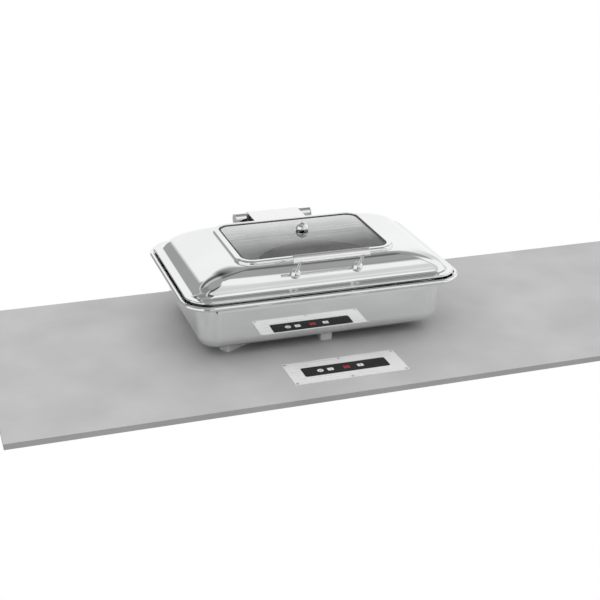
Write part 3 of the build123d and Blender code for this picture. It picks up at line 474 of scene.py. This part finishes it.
lid = dict(sheet=1.2 * mm, flange=20 * mm, lipHeight=5.6 * mm, lipRound=2.0 * mm, corner=47.7 * mm,
           baseCorner=31 * mm, topCorner=37 * mm, rise=41.9 * mm, margin=2 * mm, cove=10 * mm,
           sideFullness=1.6, frontFullness=1.6, rearFullness=1.15, coveRings=14, rings=24, cover=9 * mm,
           openCorner=22 * mm, lipTaper=0.2 * mm, lipSteps=5, shadowGap=2.2 * mm)


def domeOutline(turn, inset):
    # a cove of a quarter turn leads the dome out into the flange
    sideIn = ringHigh.x + lid["margin"]
    endIn = ringHigh.y + lid["margin"]
    sideOut = lidHigh.x - lid["flange"]
    endOut = -lidLow.y - lid["flange"]
    flangeTop = lidLow.z + lid["lipHeight"]
    level = max(math.cos(turn), 0.0)
    side = level ** (2 / lid["sideFullness"])
    front = level ** (2 / lid["frontFullness"])
    rear = level ** (2 / lid["rearFullness"])
    height = lid["rise"] * math.sin(turn)
    low = max(1 - height / lid["cove"], 0.0)
    spread = lid["cove"] * (1 - math.sqrt(1 - low ** 2))
    upward = max(math.sin(turn), low)
    grow = spread - inset * math.sqrt(1 - upward ** 2)
    half = sideIn + (sideOut - sideIn) * side + grow
    frontY = -endIn - (endOut - endIn) * front - grow
    rearY = endIn + (endOut - endIn) * rear + grow
    corner = lid["topCorner"] + (lid["baseCorner"] - lid["topCorner"]) * side + grow
    return half, frontY, rearY, corner, flangeTop + height - inset * upward


def domeTurns():
    turns = []
    for step in range(lid["coveRings"]):
        height = lid["cove"] * (1 - math.cos(math.pi / 2 * step / lid["coveRings"]))
        turns.append(math.asin(height / lid["rise"]))
    first = math.asin(lid["cove"] / lid["rise"])
    for step in range(lid["rings"] + 1):
        turns.append(first + (math.pi / 2 - first) * step / lid["rings"])
    return turns


def makeLid():
    lip = (lidHigh.x, -lidLow.y, lid["corner"])
    opening = (glassHigh.x - lid["cover"], glassHigh.y - lid["cover"], lid["openCorner"])
    flangeTop = lidLow.z + lid["lipHeight"]
    t = lid["sheet"]
    r = lid["lipRound"]
    edge = lidLow.z + lid["shadowGap"]
    outlines = [grown(lip, -lid["lipTaper"], edge)]
    for out, up in arcPoints(-r, -r, r, 0, 90, lid["lipSteps"]):
        outlines.append(grown(lip, out, flangeTop + up))
    turns = domeTurns()
    for turn in turns:
        outlines.append(domeOutline(turn, 0.0))
    top = outlines[-1][4]
    outlines.append(grown(opening, 0, top))
    outlines.append(grown(opening, 0, top - t))
    for turn in reversed(turns[::2]):
        outlines.append(domeOutline(turn, t))
    outlines.append(grown(lip, -t - r, flangeTop - t))
    outlines.append(grown(lip, -t, flangeTop - 1.5 * t))
    outlines.append(grown(lip, -t, edge))
    dress(roundedLoft("lidShell", outlines, steps=20, closed=True), "lid_shell", "polished_steel", 40)


makeLid()
print("lid shell made")


# the water pan: tub, seat, ledge and rolled rim in one sheet
# the ledge falls inwards a little, which keeps the gap under the lid dark

pan = dict(sheet=1.2 * mm, halfX=258 * mm, halfY=160 * mm, corner=43 * mm, draft=1.0, bottomRound=26 * mm,
           seatX=266.25 * mm, seatY=163.75 * mm, seatCorner=46.25 * mm, seatDrop=11 * mm,
           ledgeDrop=3.5 * mm, ledgeFall=1.6 * mm, bead=5 * mm, rimCorner=57.7 * mm, edgeRound=1 * mm)
# the roll of the rim, in degrees from outwards: its inner face, then its outer face back again
rimRoll = dict(inFrom=175, inTo=-115, inSteps=16, outFrom=-115, outTo=162, outSteps=24)


def makeWaterPan():
    t = pan["sheet"]
    bead = pan["bead"]
    small = pan["edgeRound"]
    tub = (pan["halfX"], pan["halfY"], pan["corner"])
    seating = (pan["seatX"], pan["seatY"], pan["seatCorner"])
    roll = (panHigh.x - bead, panHigh.y - bead, pan["rimCorner"] - bead)
    beadZ = panHigh.z - bead
    ledge = panHigh.z - pan["ledgeDrop"]
    ledgeLow = ledge - pan["ledgeFall"]
    seat = panHigh.z - pan["seatDrop"]
    lean = math.tan(math.radians(pan["draft"]))
    outlines = []
    outer = pan["bottomRound"]
    for out, up in arcPoints(-outer, outer, outer, -90, 0, 10):
        outlines.append(grown(tub, out - (seat - panLow.z - up) * lean, panLow.z + up))
    outlines.append(grown(tub, 0, seat - 3 * t))
    for out, up in arcPoints(1.5 * t, -1.5 * t, 1.5 * t, 180, 90, 4):
        outlines.append(grown(tub, out, seat - t + up))
    outlines.append(grown(seating, t, seat - t))
    outlines.append(grown(seating, t, ledgeLow - t))
    for out, up in arcPoints(0, 0, bead - t, rimRoll["inFrom"], rimRoll["inTo"], rimRoll["inSteps"]):
        outlines.append(grown(roll, out, beadZ + up))
    for out, up in arcPoints(0, 0, bead, rimRoll["outFrom"], rimRoll["outTo"], rimRoll["outSteps"]):
        outlines.append(grown(roll, out, beadZ + up))
    outlines.append(grown(roll, -bead - small, ledge))
    outlines.append(grown(seating, small, ledgeLow))
    outlines.append(grown(seating, 0, ledgeLow - small))
    outlines.append(grown(seating, 0, seat))
    outlines.append(grown(tub, small - t, seat))
    outlines.append(grown(tub, -t, seat - small))
    inner = outer - t
    for out, up in arcPoints(-inner, inner, inner, 0, -90, 8):
        outlines.append(grown(tub, out - t - (seat - panLow.z - t - up) * lean, panLow.z + t + up))
    obj = roundedLoft("waterPan", outlines, steps=18)
    dress(obj, "water_pan", "polished_steel", 40)


makeWaterPan()
print("water pan made")


# the food pan that hangs in it

foodLow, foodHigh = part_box("food_pan")
food = dict(sheet=1 * mm, halfX=252.5 * mm, halfY=150 * mm, corner=45 * mm, taper=5.0,
            bottomRound=14 * mm, flangeCorner=45 * mm)


def makeFoodPan():
    t = food["sheet"]
    r = food["bottomRound"]
    top = foodHigh.z
    wall = (food["halfX"], food["halfY"], food["corner"])
    flange = (foodHigh.x, foodHigh.y, food["flangeCorner"])
    lowIn = (top - foodLow.z) * math.tan(math.radians(food["taper"]))
    outlines = []
    for out, up in arcPoints(-r, r, r, -90, -food["taper"], 7):
        outlines.append(grown(wall, out - lowIn, foodLow.z + up))
    outlines.append(grown(wall, 0, top - t))
    outlines.append(grown(flange, 0, top - t))
    outlines.append(grown(flange, 0, top))
    outlines.append(grown(wall, t, top))
    outlines.append(grown(wall, -t, top - 2 * t))
    for out, up in arcPoints(-r, r, r, -food["taper"], -90, 7):
        outlines.append(grown(wall, out - lowIn - t, foodLow.z + t + up))
    obj = roundedLoft("foodPan", outlines, steps=12)
    dress(obj, "food_pan", "satin_steel", 40)


makeFoodPan()
print("food pan made")


# the round black serving pan

servingLow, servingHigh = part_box("serving_pan")
serving = dict(sheet=1.6 * mm, base=100 * mm, lip=3 * mm, turnSteps=96)


def makeServingPan():
    t = serving["sheet"]
    edge = (servingHigh.x - servingLow.x) / 2
    neck = edge - serving["lip"]
    middle = ((servingHigh.x + servingLow.x) / 2, (servingHigh.y + servingLow.y) / 2)
    floor = servingLow.z
    top = servingHigh.z
    base = serving["base"]
    # up the outside, round the lip and down the inside; radius and height
    profile = [(base - 6 * mm, floor), (base - 1.5 * mm, floor + 0.3 * mm), (base + 1 * mm, floor + 2 * mm),
               (neck - 1 * mm, top - 3.5 * mm), (neck, top - t - 0.6 * mm),
               (edge - 1.2 * mm, top - t), (edge - 0.3 * mm, top - t * 0.8), (edge, top - t * 0.5),
               (edge - 0.3 * mm, top - t * 0.2), (edge - 1 * mm, top), (neck - t, top),
               (neck - 1.8 * t, top - 1 * mm), (base + 3 * mm, floor + 8 * mm),
               (base - 3 * mm, floor + 3 * mm), (base - 10 * mm, floor + t)]
    obj = turnedPiece("servingPan", profile, serving["turnSteps"], middle)
    dress(obj, "serving_pan", "black_enamel", 40)


makeServingPan()
print("serving pan made")


# the window: pressed ring, seal and pane

window = dict(ringCorner=38 * mm, band=12.5 * mm, sheet=1.2 * mm, ringRound=5.5 * mm, innerRound=0.8 * mm,
              glassCorner=31 * mm, lip=0.8 * mm, cover=9 * mm, bed=1 * mm, wall=1.5 * mm)


def makeWindowRing():
    ring = (ringHigh.x, ringHigh.y, window["ringCorner"])
    r = window["ringRound"]
    band = window["band"]
    small = window["innerRound"]
    t = window["sheet"]
    top = ringHigh.z
    outlines = [grown(ring, 0, ringLow.z)]
    for out, up in arcPoints(-r, -r, r, 0, 90, 10):
        outlines.append(grown(ring, out, top + up))
    for out, up in arcPoints(small - band, -small, small, 90, 180, 4):
        outlines.append(grown(ring, out, top + up))
    outlines.append(grown(ring, -band, top - t))
    for out, up in arcPoints(-r, -r, r - t, 90, 0, 5):
        outlines.append(grown(ring, out, top + up))
    outlines.append(grown(ring, -t, ringLow.z))
    obj = roundedLoft("windowRing", outlines, steps=18, closed=True)
    dress(obj, "window_frame", "polished_steel", 40)


def makeWindowSeal():
    pane = (glassHigh.x, glassHigh.y, window["glassCorner"])
    wall = window["wall"]
    cover = window["cover"]
    top = glassHigh.z + window["lip"]
    low = glassLow.z - window["bed"]
    # round the pane's edge, with a groove that holds it; outwards from the pane's edge and up
    steps = [(wall, low), (wall, top), (-cover + 1.0 * mm, top), (-cover + 0.3 * mm, top - 0.25 * mm),
             (-cover, glassHigh.z), (0, glassHigh.z), (0, glassLow.z), (-cover, glassLow.z), (-cover, low)]
    outlines = [grown(pane, out, up) for out, up in steps]
    obj = roundedLoft("windowSeal", outlines, steps=14, closed=True)
    dress(obj, "window_gasket", "black_rubber", 40)


makeWindowRing()
makeWindowSeal()
print("window made")


# the steam vent's cap on the pane

ventLow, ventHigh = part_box("vent_cap")
vent = dict(stem=4 * mm, neck=6 * mm, neckHeight=3 * mm, rim=1 * mm, tip=2 * mm, tipHeight=1.4 * mm,
            domeSteps=15, turnSteps=64)


def makeVentCap():
    middle = ((ventLow.x + ventHigh.x) / 2, (ventLow.y + ventHigh.y) / 2)
    radius = (ventHigh.x - ventLow.x) / 2
    base = glassHigh.z + vent["neckHeight"]
    bulge = base + vent["rim"]
    crown = ventHigh.z - vent["tipHeight"] * 1.4
    tip = vent["tip"]
    profile = [(vent["stem"], ventLow.z), (vent["stem"], glassHigh.z), (vent["neck"], glassHigh.z),
               (vent["neck"], base), (radius - 1.2 * mm, base), (radius - 0.2 * mm, base + 0.3 * mm),
               (radius, bulge)]
    for step in range(1, vent["domeSteps"] - 1):
        turn = math.pi / 2 * step / vent["domeSteps"]
        profile.append((radius * math.cos(turn), bulge + (crown - bulge) * math.sin(turn)))
    profile += [(tip * 1.05, crown), (tip, crown + 0.2 * mm), (tip, ventHigh.z - 0.5 * mm),
                (tip * 0.7, ventHigh.z - 0.1 * mm), (tip * 0.3, ventHigh.z)]
    dress(turnedPiece("ventCap", profile, vent["turnSteps"], middle), "vent_cap", "polished_steel")


makeVentCap()
print("vent cap made")


# the grip: a curved strip on two posts with ball bosses

gripLow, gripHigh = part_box("lid_grip")
# tilt is the strip's slope, rise the posts', and root the turn up the dome where they leave it, in degrees
grip = dict(chord=16.4 * mm, bulge=3.6 * mm, sheet=2 * mm, edgeRound=0.6 * mm, tilt=49.8, rise=52.0,
            offset=5.5 * mm, length=47 * mm, root=39.0, inside=11 * mm, postX=65 * mm, post=3.25 * mm,
            postPast=0.2 * mm, boss=10.25 * mm, bossOut=3 * mm, bossSunk=0.8 * mm, bossTop=68)


def gripLine():
    outline = domeOutline(math.radians(grip["root"]), 0.0)
    rise = math.radians(grip["rise"])
    return Vector((0, outline[1], outline[4])), Vector((0, -math.cos(rise), math.sin(rise)))


def makeGripStrip():
    root, out = gripLine()
    tilt = math.radians(grip["tilt"])
    along = Vector((0, math.cos(tilt), math.sin(tilt)))
    facing = Vector((0, -math.sin(tilt), math.cos(tilt)))
    middle = root + out * grip["length"] + along * grip["offset"]
    middle.x = (gripLow.x + gripHigh.x) / 2
    half = (gripHigh.x - gripLow.x) / 2
    obj = startPiece("gripStrip")
    bpy.ops.mesh.primitive_grid_add(x_subdivisions=8, y_subdivisions=16, size=1)
    bpy.ops.transform.resize(value=(2 * half, grip["chord"], 1), center_override=(0, 0, 0))
    mesh = editMesh()
    for v in mesh.verts:
        v.co.z = grip["bulge"] * (1 - (2 * v.co.y / grip["chord"]) ** 2)
    bmesh.update_edit_mesh(obj.data)
    bpy.ops.object.mode_set(mode="OBJECT")
    thickenSheet(obj, grip["sheet"], 1.0, grip["edgeRound"])
    for v in obj.data.vertices:
        flat = v.co.copy()
        v.co = middle + Vector((flat.x, 0, 0)) + along * flat.y + facing * flat.z
    dress(obj, "lid_grip", "grip_steel")


def makeGripPosts():
    root, out = gripLine()
    middleX = (gripLow.x + gripHigh.x) / 2
    inside = grip["inside"]
    r = grip["post"]
    ball = grip["boss"]
    reach = inside + grip["length"] + grip["bulge"] + grip["postPast"]
    ballStart = math.degrees(math.asin((-grip["bossOut"] - grip["bossSunk"]) / ball))
    posts = []
    bosses = []
    for side in (-1, 1):
        across = Vector((middleX + side * grip["postX"], 0, 0))
        profile = [(r * 0.75, 0), (r, r * 0.25), (r, inside + 6 * mm), (r, reach)]
        posts.append(turnedPiece("post", profile, steps=32))
        laySolid(posts[-1], root - out * inside + across, out)
        profile = arcPoints(0, 0, ball, ballStart, grip["bossTop"], 18)
        profile += [(r * 1.12, profile[-1][1] + 0.3 * mm), (r, profile[-1][1] + 0.6 * mm)]
        bosses.append(turnedPiece("boss", profile, steps=48))
        laySolid(bosses[-1], root + out * grip["bossOut"] + across, out)
    dress(joinPieces("gripPosts", posts), "grip_posts", "polished_steel")
    dress(joinPieces("gripBosses", bosses), "grip_bosses", "polished_steel")


makeGripStrip()
makeGripPosts()
print("grip made")


# the hinge behind the lid

leafLow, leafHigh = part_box("hinge_leaf")
barrelLow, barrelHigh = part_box("hinge_barrels")
capLow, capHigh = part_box("hinge_end_caps")
hinge = dict(sheet=2.5 * mm, edgeRound=0.5 * mm, barrel=12.5 * mm, barrelWall=2.5 * mm, curl=190.0,
             curlSteps=28, gap=3.5 * mm, turnSteps=64)
hingeY = (barrelLow.y + barrelHigh.y) / 2
hingeZ = (barrelLow.z + barrelHigh.z) / 2


def makeHingeLeaf():
    middle = (0, (leafLow.y + hingeY) / 2, leafHigh.z)
    axis = Vector((0, hingeY, hingeZ))
    turn = Matrix.Rotation(-math.radians(hinge["curl"]) / hinge["curlSteps"], 3, "X")
    obj = startPiece("hingeLeaf")
    bpy.ops.mesh.primitive_grid_add(x_subdivisions=6, y_subdivisions=6, size=1, location=middle)
    bpy.ops.transform.resize(value=(2 * leafHigh.x, hingeY - leafLow.y, 1), center_override=middle)
    pick(lambda v: v.co.y > hingeY - 0.1 * mm)
    for step in range(hinge["curlSteps"]):
        # each step turns the free edge further round the pin, towards the rear and down
        bpy.ops.mesh.extrude_region_move(TRANSFORM_OT_translate={"value": (0, 0, 0)})
        for v in editMesh().verts:
            if v.select:
                v.co = Vector((v.co.x, 0, 0)) + turn @ (v.co - Vector((v.co.x, hingeY, hingeZ))) + axis
        bmesh.update_edit_mesh(obj.data)
    bpy.ops.object.mode_set(mode="OBJECT")
    thickenSheet(obj, hinge["sheet"], -1.0, hinge["edgeRound"])
    dress(obj, "hinge_leaf", "grip_steel")


def makeHingeBarrels():
    r = hinge["barrel"]
    steps = hinge["turnSteps"]
    near = leafHigh.x + hinge["gap"]
    far = barrelHigh.x
    length = far - near
    depth = capHigh.x - far
    barrelProfile = [(r - hinge["barrelWall"], 0), (r - 0.8 * mm, 0), (r, 0.8 * mm), (r, length - 0.5 * mm),
                     (r - 0.5 * mm, length)]
    capProfile = [(r - 0.3 * mm, 0), (r, 0.3 * mm), (r, depth - 1 * mm), (r - 0.3 * mm, depth - 0.3 * mm),
                  (r - 1 * mm, depth), (r - 4 * mm, depth)]
    barrels = []
    caps = []
    for side in (-1, 1):
        barrels.append(turnedPiece("barrel", barrelProfile, steps=steps))
        laySolid(barrels[-1], (side * near, hingeY, hingeZ), (side, 0, 0))
        caps.append(turnedPiece("cap", capProfile, steps=steps))
        laySolid(caps[-1], (side * far, hingeY, hingeZ), (side, 0, 0))
    dress(joinPieces("hingeBarrels", barrels), "hinge_barrels", "polished_steel")
    dress(joinPieces("hingeCaps", caps), "hinge_end_caps", "cap_plastic")


makeHingeLeaf()
makeHingeBarrels()
print("hinge made")


# the marks of the touch panel: key fields with plain signs, and two lit digits

plainPrint = dict(smearSize=60, roughness=(0.25, 0.35), bump=0.02)
printLooks = {
    "keyPrint": dict(plainPrint, dark=(0.80, 0.80, 0.80), light=(0.88, 0.88, 0.88)),
    "keySign": dict(plainPrint, dark=(0.02, 0.02, 0.02), light=(0.04, 0.04, 0.04)),
    "litDigit": dict(plainPrint, dark=(0.10, 0.004, 0.006), light=(0.16, 0.006, 0.010), roughness=(0.2, 0.3),
                     glow=(0.62, 0.012, 0.03)),
}
padLow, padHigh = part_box("panel_glass")
marks = dict(lift=0.03 * mm, key=12.5 * mm, keyCorner=1.5 * mm, sign=5.5 * mm, stroke=1.1 * mm,
             digitHigh=9.5 * mm, digitWide=5 * mm, digitGap=1.6 * mm, digits="60",
             circleX=-52 * mm, lessX=-31 * mm, moreX=31 * mm, digitX=2.5 * mm)
padX = (padLow.x + padHigh.x) / 2
padY = (padLow.y + padHigh.y) / 2
# strokes of a lit digit: across and up in half widths and half heights, and whether it lies level
strokePlaces = {"top": (0, 1, True), "middle": (0, 0, True), "bottom": (0, -1, True),
                "leftHigh": (-1, 0.5, False), "leftLow": (-1, -0.5, False),
                "rightHigh": (1, 0.5, False), "rightLow": (1, -0.5, False)}
digitStrokes = {"6": ("top", "middle", "bottom", "leftHigh", "leftLow", "rightLow"),
                "0": ("top", "bottom", "leftHigh", "leftLow", "rightHigh", "rightLow")}


def addPlate(width, depth, x, y, level):
    middle = (x, y, padHigh.z + level * marks["lift"])
    bpy.ops.mesh.select_all(action="DESELECT")
    bpy.ops.mesh.primitive_plane_add(size=1, location=middle)
    bpy.ops.transform.resize(value=(width, depth, 1), center_override=middle)


def printMarks(name, look, addMarks):
    obj = startPiece(name)
    addMarks()
    bpy.ops.object.mode_set(mode="OBJECT")
    obj.data.materials.append(makeFinish(look, printLooks[look]))
    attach(obj, bodies["panel_glass"])


def keyFields():
    key = marks["key"]
    bpy.ops.mesh.primitive_circle_add(vertices=40, radius=key / 2, fill_type="NGON",
                                      location=(padX + marks["circleX"], padY, padHigh.z + marks["lift"]))
    for x in (marks["lessX"], marks["moreX"]):
        addPlate(key, key * 0.84, padX + x, padY, 1)
        bpy.ops.mesh.bevel(offset=marks["keyCorner"], segments=4, affect="VERTICES")


def keySigns():
    sign = marks["sign"]
    stroke = marks["stroke"]
    x = padX + marks["circleX"]
    for side in (-1, 1):
        addPlate(stroke, sign, x + side * sign * 0.4, padY, 2)
    addPlate(sign, stroke, x, padY - sign * 0.4, 2)
    addPlate(stroke, sign * 0.7, x, padY + sign * 0.35, 2)
    addPlate(sign, stroke, padX + marks["lessX"], padY, 2)
    addPlate(sign, stroke, padX + marks["moreX"], padY, 2)
    addPlate(stroke, sign, padX + marks["moreX"], padY, 2)


def litDigits():
    wide = marks["digitWide"]
    high = marks["digitHigh"]
    stroke = marks["stroke"]
    for place, digit in enumerate(marks["digits"]):
        x = padX + marks["digitX"] + (place - 0.5) * (wide + marks["digitGap"])
        for name in digitStrokes[digit]:
            across, upward, level = strokePlaces[name]
            size = (wide - stroke * 0.6, stroke) if level else (stroke, high / 2 - stroke * 0.6)
            addPlate(*size, x + across * (wide - stroke) / 2, padY + upward * (high - stroke) / 2, 1)


printMarks("keyFields", "keyPrint", keyFields)
printMarks("keySigns", "keySign", keySigns)
printMarks("litDigits", "litDigit", litDigits)
print("panel marks made")


# what else the frame holds keeps its shape and takes its finish

slots = {entry["node"]: entry["material_slot"] for entry in frame["record"]["subparts"]}
for node, obj in frame["nodes"].items():
    if not obj.hide_render:
        obj.data.materials.clear()
        obj.data.materials.append(finishes[slots[node]])
print("frame nodes dressed")


# floor, light and camera

# in metres; the tone is from dark to light
counter = dict(left=-0.66, right=1.30, front=-0.360, rear=0.214, thickness=0.0115, tone=(0.48, 0.55),
               patchSize=6.0, roughness=0.6, specular=0.3)


def makeFloor():
    # a plain pale counter that the dish stands on and the unit hangs from
    obj = startPiece("floor")
    middle = ((counter["left"] + counter["right"]) / 2, (counter["front"] + counter["rear"]) / 2, 0)
    size = (counter["right"] - counter["left"], counter["rear"] - counter["front"], 1)
    bpy.ops.mesh.primitive_plane_add(size=1, location=middle)
    bpy.ops.transform.resize(value=size, center_override=middle)
    bpy.ops.mesh.extrude_region_move(TRANSFORM_OT_translate={"value": (0, 0, -counter["thickness"])})
    bpy.ops.mesh.select_all(action="SELECT")
    bpy.ops.mesh.normals_make_consistent(inside=False)
    bpy.ops.object.mode_set(mode="OBJECT")
    material = bpy.data.materials.new("paleFloor")
    material.use_nodes = True
    tree = material.node_tree
    shader = tree.nodes["Principled BSDF"]
    place = tree.nodes.new("ShaderNodeTexCoord").outputs["Object"]
    low, high = counter["tone"]
    cloud = noiseNode(tree, place, counter["patchSize"], 6.0)
    tree.links.new(toneRamp(tree, cloud, (low, low, low), (high, high, high)), shader.inputs["Base Color"])
    shader.inputs["Roughness"].default_value = counter["roughness"]
    shader.inputs["Specular IOR Level"].default_value = counter["specular"]
    obj.data.materials.append(material)


# what polished metal sees of the room, each a patch of it: middle and half width in degrees round from the
# rear towards the right, middle and half height in degrees up, softness in degrees, tone
roomPatches = {
    "overhead": dict(around=-25, halfAround=165, up=84, halfUp=28, soft=8, tone=0.38),
    "leftCeiling": dict(around=-92, halfAround=42, up=48, halfUp=13, soft=14, tone=0.28),
    "ceilingEdge": dict(around=-22, halfAround=29, up=45, halfUp=7, soft=9, tone=0.12),
    "rearLeftWall": dict(around=-46, halfAround=29, up=5, halfUp=29, soft=4, tone=0.38),
    "rearCeiling": dict(around=30, halfAround=32, up=49, halfUp=18, soft=6, tone=0.36),
    "rearPillar": dict(around=46, halfAround=9, up=4, halfUp=26, soft=10, tone=0.72),
    "rightDoor": dict(around=124, halfAround=13, up=34, halfUp=26, soft=10, tone=0.66),
    "frontCeiling": dict(around=-169, halfAround=27, up=46, halfUp=12, soft=7, tone=0.12),
    "darkCorner": dict(around=-160, halfAround=11, up=-8, halfUp=26, soft=4, tone=0.16),
    "frontWall": dict(around=164, halfAround=24, up=22, halfUp=11, soft=8, tone=0.72),
    "frontFloor": dict(around=166, halfAround=24, up=-13, halfUp=7, soft=3, tone=0.14),
    "frontStep": dict(around=166, halfAround=40, up=-32, halfUp=13, soft=3, tone=0.55),
}


# what matt surfaces get: a level part, and one that grows with height, so that a level surface comes out
# about as bright as its colour is written; and what the eye sees behind the object
plainLight = dict(level=0.35, climb=1.0, backdrop=1.0)


def makePatchMask():
    labels = ("Around", "Up", "Middle Around", "Half Around", "Middle Up", "Half Up", "Soft")
    group, given, made = newGroup(
        "roomPatch", [(label, "NodeSocketFloat", 1.0) for label in labels], [("Mask", "NodeSocketFloat")])

    def edge(value, middle, half):
        turn = mathNode(group, "SUBTRACT", given.outputs[value], given.outputs[middle])
        away = mathNode(group, "ABSOLUTE", mathNode(group, "WRAP", turn, 180.0, -180.0))
        inside = mathNode(group, "SUBTRACT", given.outputs[half], away)
        slope = mathNode(group, "ADD", mathNode(group, "DIVIDE", inside, given.outputs["Soft"]), 0.5)
        return mathNode(group, "SMOOTH_MAX", mathNode(group, "SMOOTH_MIN", slope, 1.0, 0.2), 0.0, 0.2)

    mask = mathNode(group, "MULTIPLY", edge("Around", "Middle Around", "Half Around"),
                    edge("Up", "Middle Up", "Half Up"))
    group.links.new(mask, made.inputs["Mask"])
    return group


def makeWorld():
    # a plain white room to the eye and to matt surfaces, the patched one where metal mirrors it
    world = bpy.context.scene.world or bpy.data.worlds.new("studio")
    bpy.context.scene.world = world
    world.use_nodes = True
    tree = world.node_tree
    tree.nodes.clear()
    parts = tree.nodes.new("ShaderNodeSeparateXYZ")
    tree.links.new(tree.nodes.new("ShaderNodeTexCoord").outputs["Generated"], parts.inputs[0])
    up = mathNode(tree, "DEGREES", mathNode(tree, "ARCSINE", parts.outputs["Z"]))
    around = mathNode(tree, "DEGREES", mathNode(tree, "ARCTAN2", parts.outputs["X"], parts.outputs["Y"]))
    mask = makePatchMask()
    tone = 1.0
    for patch in roomPatches.values():
        node = tree.nodes.new("ShaderNodeGroup")
        node.node_tree = mask
        tree.links.new(around, node.inputs["Around"])
        tree.links.new(up, node.inputs["Up"])
        for label, key in (("Middle Around", "around"), ("Half Around", "halfAround"), ("Middle Up", "up"),
                           ("Half Up", "halfUp"), ("Soft", "soft")):
            node.inputs[label].default_value = patch[key]
        loss = mathNode(tree, "MULTIPLY", node.outputs["Mask"], 1 - patch["tone"])
        tone = mathNode(tree, "MULTIPLY", mathNode(tree, "SUBTRACT", 1.0, loss), tone)
    rays = tree.nodes.new("ShaderNodeLightPath").outputs
    height = mathNode(tree, "MAXIMUM", parts.outputs["Z"], 0.0)
    climb = mathNode(tree, "MULTIPLY", height, plainLight["climb"])
    level = mathNode(tree, "ADD", climb, plainLight["level"])
    for seen, value in ((rays["Is Glossy Ray"], tone), (rays["Is Camera Ray"], plainLight["backdrop"])):
        change = mathNode(tree, "MULTIPLY", mathNode(tree, "SUBTRACT", value, level), seen)
        level = mathNode(tree, "ADD", level, change)
    room = tree.nodes.new("ShaderNodeBackground")
    tree.links.new(level, room.inputs["Color"])
    room.inputs["Strength"].default_value = 1.0
    out = tree.nodes.new("ShaderNodeOutputWorld")
    tree.links.new(room.outputs[0], out.inputs["Surface"])


# place in metres, turns in degrees, and the rest as fitted in pixels of the square photograph
camera = dict(place=(-0.7755, -2.2345, 1.0611), yaw=19.084, pitch=23.338, roll=0.851, focalPixels=1215.689,
              centre=(299.623, 298.482), pixels=600, sensor=36.0)


def makeCamera():
    data = bpy.data.cameras.new("camera")
    data.sensor_width = camera["sensor"]
    data.lens = camera["focalPixels"] * camera["sensor"] / camera["pixels"]
    data.shift_x = (camera["pixels"] / 2 - camera["centre"][0]) / camera["pixels"]
    data.shift_y = (camera["centre"][1] - camera["pixels"] / 2) / camera["pixels"]
    obj = bpy.data.objects.new("camera", data)
    bpy.context.collection.objects.link(obj)
    yaw, pitch, roll = (math.radians(camera[key]) for key in ("yaw", "pitch", "roll"))
    ahead = Vector((math.sin(yaw) * math.cos(pitch), math.cos(yaw) * math.cos(pitch), -math.sin(pitch)))
    right = Vector((math.cos(yaw), -math.sin(yaw), 0))
    up = right.cross(ahead)
    rightTurned = right * math.cos(roll) + up * math.sin(roll)
    upTurned = up * math.cos(roll) - right * math.sin(roll)
    turned = Matrix((rightTurned, upTurned, -ahead)).transposed()
    obj.rotation_mode = "QUATERNION"
    obj.rotation_quaternion = turned.to_quaternion()
    obj.location = camera["place"]
    bpy.context.scene.camera = obj


makeFloor()
makeWorld()
makeCamera()
bpy.context.scene.view_settings.view_transform = "Standard"
print("stage made")
